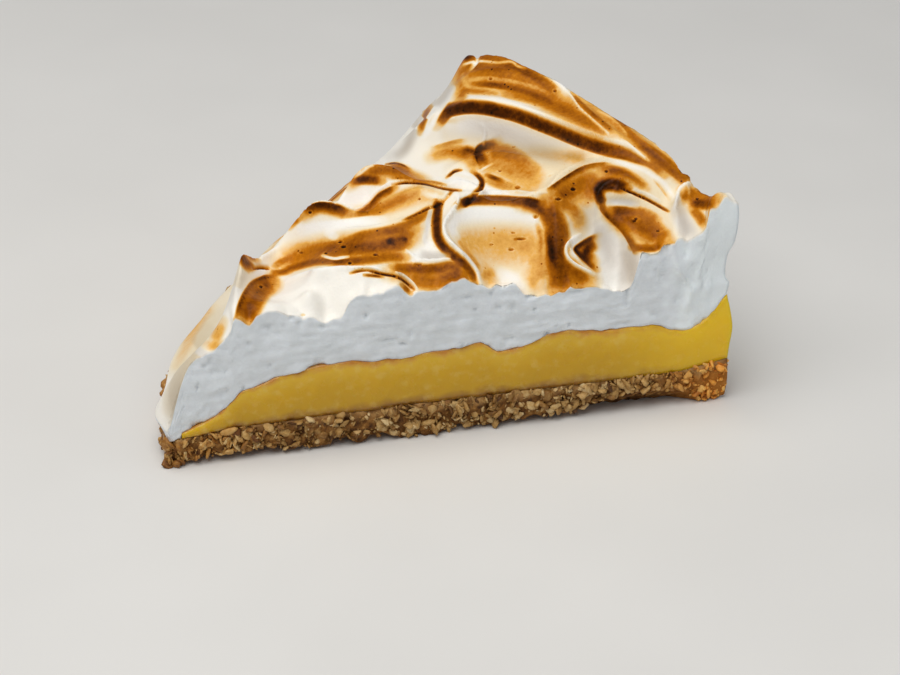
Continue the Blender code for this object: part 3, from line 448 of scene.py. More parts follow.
# Painted shade: hollows, valleys, the lower rim and the back face made greyer and more beige
# than the rest, traced the same way.
PAINTED_SHADE = {
    "valley_back": (22, 22, 2, 0, ((436, 134, .4), (456, 130, .6), (476, 130, .85), (500, 136, .95),
        (530, 146, 1), (552, 152, .9), (572, 155, .4))),
    "valley_low": (10, 7, 2, 0, ((552, 152, .5), (564, 155, .8), (576, 157, .85), (588, 158, .5))),
    "tongue_right": (16, 14, 3, 0, ((626, 248, .8), (628, 266, 1), (628, 286, .9))),
    "tongue_top": (15, 15, 2, 0, ((592, 206, .7), (586, 218, .8), (588, 232, .6))),
    "tongue_left": (16, 16, 2, 0, ((596, 226, .6), (606, 242, .75), (612, 258, .6), (614, 272, .25))),
    "hook_pale": (7, 7, 2, 0, ((605, 200, .7), (620, 200, .8), (636, 203, .7))),
    "narrow": (4, 4, 2, 0, ((430, 212, .6), (427, 228, .6), (425, 242, .7))),
    "pocket": (5, 5, 3, 0, ((423, 254, .9), (436, 255, .9), (448, 253, .7))),
    "tip_valley": (13, 13, 2, 0, ((677, 206, .8), (684, 222, .9), (692, 236, .8))),
    "rim_upper": (8, 14, 2, 0, ((243, 274, .6), (240, 284, .5), (232, 298, .3), (224, 312, .15))),
    "rim_lower": (28, 28, 2, 0, ((212, 322, .3), (200, 346, .5), (187, 372, .75), (176, 400, 1),
        (166, 436, 1))),
    "back_face": (9, 9, 2, 0, ((452, 84, .8), (441, 100, .8), (424, 108, .5), (412, 135, .9),
        (404, 150, .9), (392, 158, .5))),
}
# Bubbles that burst in the skin: x, y, width and height in pixels.
BUBBLES = (
    (573, 189.2, 6, 4), (573.6, 183.4, 3, 2), (558, 199.2, 7, 3), (535.3, 217, 6, 4),
    (514, 147, 4, 2), (500, 171, 4, 2), (550, 175, 3, 2), (517.7, 187.5, 6, 4),
    (419.6, 199, 3, 3), (436, 198.5, 4, 2), (340, 242, 5, 3), (343.6, 247, 6, 3),
    (301.5, 252.7, 5, 2), (326, 253.4, 4, 2), (375.5, 254.7, 6, 3), (349.8, 263.3, 4, 3),
    (418.3, 264, 9, 3), (513, 232.8, 6, 2), (520, 239, 13, 3), (511, 249.6, 6, 3),
    (491.7, 244.5, 4, 2), (525.8, 265, 3, 3), (606.3, 171.4, 4, 3), (634, 221, 5, 3),
    (490.5, 79, 4, 3), (555, 91, 4, 3), (260.8, 287, 4, 3), (636, 219, 4, 3),
    (658, 231, 4, 2), (697, 199, 4, 2), (303, 315, 5, 3), (310, 212.5, 4, 3),
)
# Colour of the skin against its browning.
TOAST_RAMP = ((0, (250, 247, 240)), (.16, (244, 226, 190)), (.36, (236, 180, 88)),
              (.56, (196, 118, 12)), (.74, (146, 78, 0)), (.88, (80, 36, 0)),
              (1, (30, 12, 0)))


def blend_curve(knots, t):
    """Smooth curve through the knots that never swings past them."""
    knots = np.array(knots, float)
    x, y = knots[:, 0], knots[:, 1]
    step = np.diff(x)
    rise = np.diff(y) / step
    slope = np.zeros(len(x))
    slope[0], slope[-1] = rise[0], rise[-1]
    product = rise[:-1] * rise[1:]
    safe = np.where(product > 0, rise[:-1] + rise[1:], 1.0)
    slope[1:-1] = np.where(product > 0, 2 * product / safe, 0.0)
    t = np.clip(t, x[0], x[-1])
    i = np.clip(np.searchsorted(x, t) - 1, 0, len(x) - 2)
    s = (t - x[i]) / step[i]
    start = (2 * s**3 - 3 * s**2 + 1) * y[i] + (s**3 - 2 * s**2 + s) * step[i] * slope[i]
    end = (3 * s**2 - 2 * s**3) * y[i + 1] + (s**3 - s**2) * step[i] * slope[i + 1]
    return start + end


def smooth_path(points, pieces=6):
    """Points along a rounded path through the given rows of numbers."""
    p = np.array(points, float)
    p = np.vstack([2 * p[0] - p[1], p, 2 * p[-1] - p[-2]])
    rows = []
    for i in range(1, len(p) - 2):
        for s in np.linspace(0, 1, pieces, endpoint=False):
            row = 2 * p[i] + (p[i + 1] - p[i - 1]) * s
            row = row + (2 * p[i - 1] - 5 * p[i] + 4 * p[i + 1] - p[i + 2]) * s**2
            row = row + (3 * p[i] - p[i - 1] - 3 * p[i + 1] + p[i + 2]) * s**3
            rows.append(row / 2)
    rows.append(p[-2])
    return np.array(rows)


def row_radii(count, edge):
    """Radii of rows from the tip out to an edge, closer together near the edge."""
    s = np.arange(count) / (count - 1)
    return edge * (1.12 * s - 0.12 * s**2.5)


def near_path(x, y, path):
    """Distance to the path, side of it (-1 to 1), and how far along it by rows."""
    best = np.full(x.shape, 1e9)
    side = np.ones(x.shape)
    along = np.zeros(x.shape)
    for i, (p, q) in enumerate(zip(path[:-1], path[1:])):
        dx, dy = q[0] - p[0], q[1] - p[1]
        length = max(dx * dx + dy * dy, 1e-9)
        s = np.clip(((x - p[0]) * dx + (y - p[1]) * dy) / length, 0, 1)
        away = np.hypot(x - p[0] - s * dx, y - p[1] - s * dy)
        closer = away < best
        best = np.where(closer, away, best)
        turn = (x - p[0]) * dy - (y - p[1]) * dx
        side = np.where(closer, turn / (np.maximum(away, 1e-6) * math.sqrt(length)), side)
        along = np.where(closer, i + s, along)
    return best, side, along


def near_stroke(x, y, path, reach):
    """The points within reach of a path, and what near_path gives for them."""
    box = (x > path[:, 0].min() - reach) & (x < path[:, 0].max() + reach)
    box &= (y > path[:, 1].min() - reach) & (y < path[:, 1].max() + reach)
    picked = np.nonzero(box)[0]
    return picked, *near_path(x[picked], y[picked], path)


def carried(path, along, column=2):
    """A number that the path carries, at places along it."""
    return np.interp(along, np.arange(len(path)), path[:, column])


def crest_rise(a, b):
    """Height added by the crests, the folds and the broad lobes."""
    rise = np.zeros(a.shape)
    for far, near, points in CRESTS.values():
        path = smooth_path(points)
        picked, away, side, along = near_stroke(a, b, path, max(far, near))
        height = carried(path, along)
        u = away / np.where(side > 0, far, near)
        u = np.sqrt(u * u + 0.001) - 0.0316
        rise[picked] += height * np.clip(1 - u, 0, 1) ** 2
    for reach, edge, points in STEPS.values():
        path = smooth_path(points)
        picked, away, side, along = near_stroke(a, b, path, reach)
        height = carried(path, along)
        fade = np.clip(1 - away / reach, 0, 1) ** 2
        rise[picked] += height * np.tanh(np.sign(side) * away / edge) * fade
    for at_a, at_b, height, long_a, long_b in LOBES.values():
        rise += height * np.exp(-((a - at_a) / long_a) ** 2 - ((b - at_b) / long_b) ** 2)
    return rise


def true_radius(r, theta):
    """Distance from the tip once the rim is drawn in."""
    return r - blend_curve(RIM_INSET, theta) * (r / RADIUS) ** 1.5


def top_height(r, theta):
    """Height of the meringue top at a radius and an angle in degrees."""
    a = true_radius(r, theta) * np.cos(np.radians(theta))
    b = true_radius(r, theta) * np.sin(np.radians(theta))
    t = np.clip(theta / WEDGE, 0, 1)
    z = (1 - t) * (1 - 2 * t) * blend_curve(TOP_NEAR, r)
    z = z + 4 * t * (1 - t) * blend_curve(TOP_MID, r)
    z = z + t * (2 * t - 1) * blend_curve(TOP_BACK, r)
    k = np.exp(-((np.maximum(b, 0) / CUT_SOFT) ** 1.7))
    z = z * (1 - k) + blend_curve(TOP_CUT, r) * k
    ease = np.clip((RADIUS - r) / 10, 0, 1)
    torn = blend_curve(CUT_TRIM, r) * np.exp(-((np.maximum(b, 0) / TRIM_SOFT) ** 2))
    return z + crest_rise(a, b) * ease + torn


def rim_push(theta, z):
    """How far the meringue bulges out past the rim."""
    push = np.zeros(np.shape(theta))
    for at, spread, amount in RIM_LUMPS:
        push = push + amount * np.exp(-(((theta - at) / spread) ** 2))
    return push * np.clip((z - 4.5) / 4, 0, 1) * np.clip((28 - z) / 14, 0, 1)


def lumps(x, y, z, size, seed):
    """Smooth random lumps of about the given size, between -1 and 1."""
    q = np.stack([x, y, z]) / size
    cell = np.floor(q)
    f = q - cell
    f = f * f * (3 - 2 * f)
    total = np.zeros(x.shape)
    for corner in itertools.product((0, 1), repeat=3):
        k = cell + np.array(corner).reshape(3, 1)
        h = np.sin(k[0] * 12.9898 + k[1] * 78.233 + k[2] * 37.719 + seed * 4.17) * 43758.5453
        weight = np.ones(x.shape)
        for axis, up in enumerate(corner):
            weight = weight * (f[axis] if up else 1 - f[axis])
        total += weight * (h - np.floor(h))
    return 2 * total - 1


def rough(x, y, z, size, seed, layers=3):
    """Lumps of several sizes on top of each other."""
    total = np.zeros(x.shape)
    for k in range(layers):
        total += lumps(x, y, z, size / 2**k, seed + k) / 2**k
    return total


def fan(share):
    """Angle at a share of the way round, closer together near the front cut."""
    return WEDGE * (0.7 * share + 0.3 * share**2)


def spot(r, theta):
    """x and y of a radius and an angle, in millimetres."""
    t = np.radians(theta)
    return X_TIP - r * np.cos(t), Y_CUT + r * np.sin(t)


def polar(x, y):
    """Radius and angle about the tip, before the rim is drawn in."""
    a, b = X_TIP - x, y - Y_CUT
    theta = np.clip(np.degrees(np.arctan2(b, a)), 0, WEDGE)
    r = np.hypot(a, b)
    return r + blend_curve(RIM_INSET, theta) * (r / RADIUS) ** 1.5, theta


class Columns:
    """Columns once round a wedge: front cut to the tip, back cut, then rim."""

    def __init__(self, radii, arc_radius, across):
        inside = len(radii)
        back = math.radians(WEDGE)
        rim = fan(np.linspace(1, 0, across + 1)[:-1])
        self.r = np.concatenate([radii[:0:-1], radii[:1], radii[1:-1],
                                 np.full(across, arc_radius)])
        self.theta = np.concatenate([np.zeros(inside), np.full(inside - 2, WEDGE), rim])
        self.side = np.concatenate([np.zeros(inside - 1), [1], np.full(inside - 2, 2),
                                    np.full(across, 3)])
        self.out_x = np.zeros(len(self.r))
        self.out_y = np.zeros(len(self.r))
        self.out_y[self.side == 0] = -1
        self.out_x[self.side == 1] = math.cos(back / 2)
        self.out_y[self.side == 1] = -math.sin(back / 2)
        self.out_x[self.side == 2] = math.sin(back)
        self.out_y[self.side == 2] = math.cos(back)
        turn = np.radians(self.theta)
        on_rim = self.side == 3
        self.out_x[on_rim] = -np.cos(turn[on_rim])
        self.out_y[on_rim] = np.sin(turn[on_rim])

    def place(self, z, out):
        """Points of one ring, pushed outwards by the given amount."""
        x, y = spot(true_radius(self.r, self.theta), self.theta)
        shift_x, shift_y = tip_shift(self.r, z)
        return np.stack([x + out * self.out_x + shift_x, y + out * self.out_y + shift_y, z], 1)


def cut_relief(columns, z, low, high):
    """Unevenness of a cut face of the soft layers, outward in millimetres."""
    along, side = columns.r, columns.side
    calm = np.clip(along / 6, 0, 1)
    seed = np.where(side == 0, 2.0, 5.0)
    wave = 0.3 * lumps(along, side * 40, z, 6.0, 3)
    drag = 0.16 * lumps(along / 7, side * 40 + seed, z, 0.9, 4)
    drag = drag + 0.12 * lumps(along / 3 + z, side * 40 + seed, z - along / 6, 1.3, 9)
    level = np.clip((z - low) / np.maximum(high - low, 0.1), 0, 1)
    belly = 0.22 * np.sin(np.pi * level)
    ridge = blend_curve(TORN_RIDGE, z) - along
    torn = TORN_STEP * (np.tanh(ridge / 0.5) * 0.5 + 0.9 * np.exp(-((ridge / 0.7) ** 2)))
    torn = torn * np.exp(-((ridge / 6) ** 2)) * np.clip((z - 23) / 4, 0, 1)
    shreds = 0.35 * np.exp(-(((along - 8) / 7) ** 2)) * rough(along, side * 40, z / 2, 1.8, 6)
    fine = 0.08 * rough(along, side * 40, z, 1.1, 7)
    pits = np.clip(lumps(along, side * 40, z, 1.6, 8) - 0.55, 0, 1) * -1.6
    out = (wave + drag + torn + shreds + fine + pits) * calm + belly
    return np.where(side == 3, 0, out)


def tip_shift(r, z):
    """Offset in x and y of the places near the tip, at each height."""
    out = blend_curve(TIP_PROFILE, z) * np.exp(-((r / TIP_REACH) ** 2))
    turn = math.radians(WEDGE / 2)
    return out * math.cos(turn), -out * math.sin(turn)


def new_piece(name, verts, faces, material, replaces, values):
    """Closed mesh from millimetre points, riding on the one body."""
    mesh = bpy.data.meshes.new(name)
    mesh.from_pydata((np.asarray(verts) * MM).tolist(), [], faces)
    for key, numbers in values.items():
        layer = mesh.attributes.new(key, "FLOAT", "POINT")
        layer.data.foreach_set("value", np.asarray(numbers, dtype=np.float32))
    work = bmesh.new()
    work.from_mesh(mesh)
    bmesh.ops.recalc_face_normals(work, faces=work.faces[:])
    if work.calc_volume(signed=True) < 0:
        bmesh.ops.reverse_faces(work, faces=work.faces[:])
    work.to_mesh(mesh)
    work.free()
    mesh.polygons.foreach_set("use_smooth", np.ones(len(mesh.polygons), dtype=bool))
    mesh.materials.append(material)
    item = bpy.data.objects.new(name, mesh)
    bpy.context.scene.collection.objects.link(item)
    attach(item, "root")
    if replaces:
        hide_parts(replaces)
    return item


def ring_faces(lower, upper):
    """Band of quads between two closed rings of vertex numbers."""
    count = len(lower)
    return [(lower[i], lower[(i + 1) % count], upper[(i + 1) % count], upper[i])
            for i in range(count)]


def add_ring(verts, faces, ring, points):
    """Adds a ring of points, and the band from the ring before it if there is one."""
    fresh = list(range(len(verts), len(verts) + len(points)))
    verts.extend(points.tolist())
    if ring:
        faces.extend(ring_faces(ring, fresh))
    return fresh


def close_face(verts, faces, ring, height, shares):
    """Hidden face inside a ring: smaller rings towards the middle of the slice."""
    edge = np.array([verts[i][:2] for i in ring])
    outer = list(ring)
    for share in shares:
        xy = MIDDLE + (edge - MIDDLE) * share
        z = height(*polar(xy[:, 0], xy[:, 1]))
        inner = list(range(len(verts), len(verts) + len(ring)))
        verts.extend(np.column_stack([xy, z]).tolist())
        faces.extend(ring_faces(inner, outer))
        outer = inner
    centre = len(verts)
    z = height(*polar(MIDDLE[:1], MIDDLE[1:]))
    verts.append([*MIDDLE.tolist(), float(z[0])])
    count = len(outer)
    faces.extend((outer[i], outer[(i + 1) % count], centre) for i in range(count))


def camera_rays():
    """Camera place and the directions of a picture's right, up and away."""
    rise, turn = math.radians(CAMERA_RISE), math.radians(CAMERA_TURN)
    back = Vector((-math.sin(turn) * math.cos(rise), -math.cos(turn) * math.cos(rise),
                   math.sin(rise)))
    place = Vector(LOOK) + back * AWAY
    right = Vector((0, 0, 1)).cross(back).normalized()
    return place, right, back.cross(right), -back


def picture_spots(points):
    """Pixels of the picture at which millimetre points show."""
    place, right, up, ahead = camera_rays()
    away = points - np.array(place)
    depth = away @ np.array(ahead)
    scale = WIDE * LENS / SENSOR
    x = WIDE / 2 + scale * (away @ np.array(right)) / depth
    y = TALL / 2 - scale * (away @ np.array(up)) / depth
    return x, y


def seen_point(tree, x, y):
    """Point of the surface at a pixel of the picture, in millimetres."""
    place, right, up, ahead = camera_rays()
    scale = WIDE * LENS / SENSOR
    ray = ahead + right * ((x - WIDE / 2) / scale) - up * ((y - TALL / 2) / scale)
    return tree.ray_cast(place, ray.normalized())[0]


def seen_path(tree, path):
    """Surface points along a path of pixels; gaps take their neighbour's point."""
    hits = [seen_point(tree, row[0], row[1]) for row in path]
    known = [i for i, hit in enumerate(hits) if hit is not None]
    if not known:
        return None
    nearest = [min(known, key=lambda k: abs(k - i)) for i in range(len(hits))]
    return np.array([hits[k][:] for k in nearest])


def stroke_share(tree, points, spots, stroke):
    """The points that a traced stroke reaches, and its cover and strength at each."""
    left, right, crisp, _, rows = stroke
    path = smooth_path(rows)
    surface = seen_path(tree, path)
    if surface is None:
        return np.array([], int), np.array([]), np.array([])
    picked, away, side, along = near_stroke(*spots, path, max(left, right))
    width = (left + right + np.clip(side, -1, 1) * (left - right)) / 2
    fall = np.clip(1 - (away / width) ** crisp, 0, 1) ** 2
    rail = np.arange(len(path))
    gap = np.zeros(len(picked))
    for axis in range(3):
        gap += (points[picked, axis] - np.interp(along, rail, surface[:, axis])) ** 2
    on_it = np.clip((REACH_3D - np.sqrt(gap)) / SOFT_3D, 0, 1)
    run = np.append(0, np.cumsum(np.hypot(*np.diff(path[:, :2], axis=0).T)))
    at = np.interp(along, rail, run)
    end = np.clip(np.minimum(at, run[-1] - at) / END_FADE, 0, 1)
    return picked, fall * on_it * (0.65 + 0.35 * end), np.clip(carried(path, along), 0, 1)


def back_marks(points):
    """Browning of the hidden slope at each point, traced on the surface itself."""
    a, b = X_TIP - points[:, 0], points[:, 1] - Y_CUT
    uneven = 0.75 + 0.35 * rough(points[:, 0], points[:, 1], points[:, 2], 5, 61)
    toast = np.zeros(len(points))
    for width, rows in BACK_BROWN.values():
        path = smooth_path(rows)
        picked, away, _, along = near_stroke(a, b, path, width * 1.3)
        fall = np.clip(1 - (away / (width * uneven[picked] * 1.2)) ** 2, 0, 1) ** 2
        toast[picked] = np.maximum(toast[picked], fall * np.clip(carried(path, along), 0, 1))
    in_b = np.clip((b - BACK_START[1]) / BACK_SOFT[1], 0, 1)
    return toast * in_b * np.clip((a - BACK_START[0]) / BACK_SOFT[0], 0, 1)


def bubble_share(tree, points, spots, bubble):
    """The points in and around a burst bubble, and how near its middle they are."""
    x, y, wide, tall = bubble
    hit = seen_point(tree, x, y)
    if hit is None:
        return np.array([], int), np.array([])
    away = np.hypot((spots[0] - x) / wide, (spots[1] - y) / tall)
    near = (away < 1) & (np.linalg.norm(points - np.array(hit), axis=1) < REACH_3D / 2)
    return np.nonzero(near)[0], 1 - away[near]


def torch(tree, points):
    """Browning, painted shade and small rise at each point of the top."""
    spots = picture_spots(points)
    toast = np.full(len(points), BARE_TOAST)
    painted_shade = np.zeros(len(points))
    rise = np.zeros(len(points))
    # Marks of the torch, with the painted shadow under the rim curl among them.
    for stroke in BROWN.values():
        picked, cover, strength = stroke_share(tree, points, spots, stroke)
        toast[picked] = (toast[picked] ** 4 + (cover * strength) ** 4) ** 0.25
        rise[picked] += stroke[3] * cover * strength
    toast = (toast ** 4 + back_marks(points) ** 4) ** 0.25
    # Pale hollows, and painted highlights along the crests: browning taken away.
    for stroke in PALE_AND_HIGHLIGHTS.values():
        picked, cover, strength = stroke_share(tree, points, spots, stroke)
        toast[picked] *= 1 - cover * strength
        rise[picked] += stroke[3] * cover * strength
    # Painted shade in the hollows, the valleys, the lower rim and the back face.
    for stroke in PAINTED_SHADE.values():
        picked, cover, strength = stroke_share(tree, points, spots, stroke)
        painted_shade[picked] = np.maximum(painted_shade[picked], cover * strength)
    for bubble in BUBBLES:
        picked, share = bubble_share(tree, points, spots, bubble)
        core = np.clip(share * 2 - 1, 0, 1)
        ring = np.clip(1 - np.abs(share - 0.35) / 0.25, 0, 1)
        toast[picked] = np.clip(toast[picked] * (1 - 0.2 * ring) + 0.4 * core ** 0.5, 0, 1)
        rise[picked] += 0.12 * ring - 0.35 * core
    return np.clip(toast, 0, 1), painted_shade, rise


def top_points(r, theta):
    """Points of the meringue top at radii and angles."""
    z = top_height(r, theta)
    swell = rim_push(theta, z) * np.clip((r - 110) / 15, 0, 1)
    x, y = spot(true_radius(r, theta) + swell, theta)
    b = y - Y_CUT
    ease = np.clip((RADIUS - r) / 4, 0, 1)
    z = z + (0.16 * lumps(x, y, z, 5, 11) + 0.05 * rough(x, y, z, 1.6, 12)) * ease
    z = z + 0.5 * rough(x, y * 0, z * 0, 2.0, 13, 2) * np.exp(-((b / 1.2) ** 2)) * ease
    creased = np.exp(-((b / 6) ** 2)) * np.exp(-(((X_TIP - x - 86) / 14) ** 2))
    z = z + 0.9 * rough(x, y / 1.5, z * 0, 3.4, 14, 2) * creased
    shift_x, shift_y = tip_shift(r, z)
    return np.stack([x + shift_x, y + shift_y, z], 1)


def split_edges(where, points, faces, wanted):
    """Splits the wanted inner edges of a mesh of triangles."""
    pairs = np.sort(faces[:, [0, 1, 1, 2, 2, 0]].reshape(-1, 2), axis=1)
    keys, which, uses = np.unique(pairs[:, 0] * len(points) + pairs[:, 1],
                                  return_inverse=True, return_counts=True)
    ends = np.stack([keys // len(points), keys % len(points)], 1)
    length = np.linalg.norm(points[ends[:, 0]] - points[ends[:, 1]], axis=1)
    chosen = wanted(ends, length) & (uses == 2)
    middle = np.full(len(ends), -1)
    middle[chosen] = len(points) + np.arange(chosen.sum())
    fresh = where[ends[chosen]].mean(1)
    where = np.vstack([where, fresh])
    points = np.vstack([points, top_points(fresh[:, 0], fresh[:, 1])])

    cuts = middle[which.reshape(-1, 3)]
    marked = cuts >= 0
    whole = faces[~marked.any(1)]
    made = [whole]
    for turn in range(3):
        a, b, c = faces[:, turn], faces[:, (turn + 1) % 3], faces[:, (turn + 2) % 3]
        ab, bc, ca = cuts[:, turn], cuts[:, (turn + 1) % 3], cuts[:, (turn + 2) % 3]
        one = (ab >= 0) & (bc < 0) & (ca < 0)
        made += [np.stack(t, 1)[one] for t in ((a, ab, c), (ab, b, c))]
        two = (ab >= 0) & (bc >= 0) & (ca < 0)
        made += [np.stack(t, 1)[two] for t in ((ab, b, bc), (a, ab, bc), (a, bc, c))]
    a, b, c = faces.T
    ab, bc, ca = cuts.T
    three = marked.all(1)
    made += [np.stack(t, 1)[three] for t in ((a, ab, ca), (ab, b, bc), (ca, bc, c),
                                             (ab, bc, ca))]
    return where, points, np.vstack(made)


def top_surface():
    """Rows of the meringue top: numbers of its vertices, points and faces."""
    radii = row_radii(TOP_ROWS, RADIUS)
    count = np.arange(1, TOP_ROWS + 1)
    start = np.concatenate([[0], np.cumsum(count)[:-1]])
    r = np.repeat(radii, count)
    place_in_row = np.arange(len(r)) - np.repeat(start, count)
    theta = fan(place_in_row / np.maximum(np.repeat(count, count) - 1, 1))
    theta[0] = WEDGE / 2
    faces = []
    for i in range(TOP_ROWS - 1):
        inner, outer = start[i], start[i + 1]
        j = np.arange(i + 1)
        faces.append(np.stack([inner + j, outer + j + 1, outer + j], 1))
        j = np.arange(i)
        faces.append(np.stack([inner + j, inner + j + 1, outer + j + 1], 1))
    where, points, faces = np.stack([r, theta], 1), top_points(r, theta), np.vstack(faces)
    for _ in range(2):
        where, points, faces = split_edges(where, points, faces,
                                           lambda ends, length: length > LONG_EDGE)
    tree = BVHTree.FromPolygons(points.tolist(), faces.tolist())
    looks = torch(tree, points)
    for _ in range(2):
        toast = looks[0]
        where, points, faces = split_edges(
            where, points, faces,
            lambda ends, length: (length > FINE_EDGE)
            & (np.abs(toast[ends[:, 0]] - toast[ends[:, 1]]) > TOAST_STEP))
        looks = torch(tree, points)
    return radii, start, points, where, faces, looks


def curd_top(r, theta):
    """Height of the uneven top of the curd."""
    x, y = spot(true_radius(r, theta), theta)
    uneven = 0.35 * lumps(x, y, 0 * x, 4.5, 41) + 0.25 * lumps(x, y, 0 * x, 2.4, 42)
    return blend_curve(CURD_TOP, r) + uneven * np.clip((118 - r) / 8, 0, 1)


def layer_floor(r, theta):
    """Height of what lies under the meringue."""
    return np.where(r > CURD_EDGE, blend_curve(CRUST_TOP, r), curd_top(r, theta)) + JOIN


def build_meringue(material):
    """Swirled and torched top over the cut walls of the meringue."""
    radii, start, top, where, triangles, (toast, painted_shade, rise) = top_surface()
    top[:, 2] += rise * np.clip((RADIUS - where[:, 0]) / 4, 0, 1)

    verts = top.tolist()
    faces = triangles.tolist()
    columns = Columns(radii, RADIUS, TOP_ROWS - 1)
    first = [int(start[i]) for i in range(TOP_ROWS)]
    last = [int(start[i]) + i for i in range(TOP_ROWS)]
    upper = first[:0:-1] + [0] + last[1:-1] + list(range(last[-1], first[-1], -1))
    low = layer_floor(columns.r, columns.theta)
    high = top[upper, 2]
    flat = columns.side != 3
    flat[0] = False
    edge = columns.place(high, cut_relief(columns, high, low, high))
    ring_top = np.where(flat[:, None], edge, top[upper])
    for corner, point in zip(upper, ring_top):
        verts[corner] = point.tolist()
    ring = upper
    for k in range(1, WALL_ROWS + 1):
        z = high + (low - high) * k / WALL_ROWS
        out = cut_relief(columns, z, low, high)
        out = np.where(flat, out, rim_push(columns.theta, z))
        below = list(range(len(verts), len(verts) + len(ring)))
        verts.extend(columns.place(z, out).tolist())
        faces.extend(ring_faces(below, ring))
        ring = below
    close_face(verts, faces, ring, layer_floor, (0.955, 0.93, 0.8, 0.5))

    count = len(verts)
    cut = np.ones(count)
    cut[:len(top)] = 0
    rest = np.zeros(count - len(top))
    # toast also carries the painted highlights along the crests and the painted shadow under the rim
    # curl.
    values = {"toast": np.append(toast, rest), "painted_shade": np.append(painted_shade, rest), "cut": cut}
    return new_piece("meringue_top", verts, faces, material, "meringue", values)


def build_curd(material):
    """Band of lemon curd between the crust and the meringue."""
    columns = Columns(row_radii(CURD_COLUMNS, CURD_EDGE), CURD_EDGE, CURD_COLUMNS - 1)
    low = blend_curve(CRUST_TOP, columns.r) + JOIN
    high = curd_top(columns.r, columns.theta) - JOIN / 2
    verts, faces, levels, ring = [], [], [], None
    for k in range(CURD_ROWS + 1):
        level = k / CURD_ROWS
        z = low + (high - low) * level
        belly = 0.35 * math.sin(math.pi * level) ** 0.7
        out = 0.3 * lumps(columns.r, columns.side * 40, z, 9.0, 21) + belly
        out = out + 0.06 * rough(columns.r, columns.side * 40, z, 1.8, 22)
        out = np.where(columns.side == 3, 0, out * np.clip(columns.r / 6, 0, 1))
        ring = add_ring(verts, faces, ring, columns.place(z, out))
        levels.extend([level] * len(ring))
    bottom = list(range(len(ring)))
    shares = (0.97, 0.8, 0.5)
    close_face(verts, faces, ring, lambda r, theta: curd_top(r, theta) - JOIN, shares)
    levels.extend([1.0] * (len(verts) - len(levels)))
    close_face(verts, faces, bottom[::-1],
               lambda r, theta: blend_curve(CRUST_TOP, r) + JOIN, shares)
    levels.extend([0.0] * (len(verts) - len(levels)))
    values = {"level": levels}
    return new_piece("curd_band", verts, faces, material, "lemon_curd", values)


def crust_lift(r, side):
    """Height of the broken lower edge of the crust; sides 0 and 1 are the front cut."""
    lift = np.where(side < 2, blend_curve(CRUST_LIFT, r), 0.7)
    return np.maximum(lift + 0.9 * rough(r, side * 30, r * 0, 3.2, 31, 2), 0.25)


def build_crust(material):
    """Crumbly base: rough sides, a broken lower edge and a flat foot."""
    s = np.linspace(0, 1, CRUST_COLUMNS)
    columns = Columns(CRUST_RIM * s, CRUST_RIM, CRUST_COLUMNS - 1)
    r, side = columns.r, columns.side
    roof = blend_curve(CRUST_TOP, r)
    lift = crust_lift(r, side)
    verts, faces, levels, ring = [], [], [], None
    for k in range(CRUST_ROWS + 1):
        level = k / CRUST_ROWS
        z = lift + (roof - lift) * level
        out = 0.75 * rough(r, side * 30, z, 2.2, 32) - 0.35
        out = out * np.clip(r / 5, 0, 1) + 0.4 * math.sin(level * math.pi)
        ring = add_ring(verts, faces, ring, columns.place(z, out))
        levels.extend([level] * len(ring))
    bottom = list(range(len(ring)))
    close_face(verts, faces, ring, lambda r, theta: blend_curve(CRUST_TOP, r), (0.96, 0.7, 0.4))

    edge = np.array([verts[i][:2] for i in bottom])
    inward = MIDDLE - edge
    inward = inward / np.linalg.norm(inward, axis=1)[:, None]
    foot_xy = edge + inward * FOOT_INSET
    foot = list(range(len(verts), len(verts) + len(bottom)))
    verts.extend(np.column_stack([foot_xy, np.zeros(len(foot))]).tolist())
    faces.extend(ring_faces(foot, bottom))
    close_face(verts, faces, foot, lambda r, theta: 0 * r, (0.5,))
    values = {"level": levels + [0.0] * (len(verts) - len(levels))}
    return new_piece("crust_base", verts, faces, material, "crust", values)


def crumb_shapes(rng, kinds, rings):
    """Unit crumbs: broken lumps made from a ball with uneven sides."""
    work = bmesh.new()
    bmesh.ops.create_icosphere(work, subdivisions=rings, radius=1)
    ball = np.array([v.co[:] for v in work.verts])
    faces = np.array([[v.index for v in f.verts] for f in work.faces])
    work.free()
    shapes = []
    for _ in range(kinds):
        shape = ball.copy()
        for _ in range(5):
            normal = rng.normal(size=3)
            normal /= np.linalg.norm(normal)
            limit = rng.uniform(0.35, 0.8)
            over = np.clip(shape @ normal - limit, 0, None)
            shape = shape - over[:, None] * normal
        shapes.append(shape * rng.uniform(0.85, 1.15, size=(len(ball), 1)))
    return shapes, faces


def turned(rng, count):
    """Random rotations as matrices."""
    q = rng.normal(size=(count, 4))
    q /= np.linalg.norm(q, axis=1)[:, None]
    w, x, y, z = q.T
    return np.stack([
        np.stack([1 - 2 * (y * y + z * z), 2 * (x * y - z * w), 2 * (x * z + y * w)], 1),
        np.stack([2 * (x * y + z * w), 1 - 2 * (x * x + z * z), 2 * (y * z - x * w)], 1),
        np.stack([2 * (x * z - y * w), 2 * (y * z + x * w), 1 - 2 * (x * x + y * y)], 1)], 1)


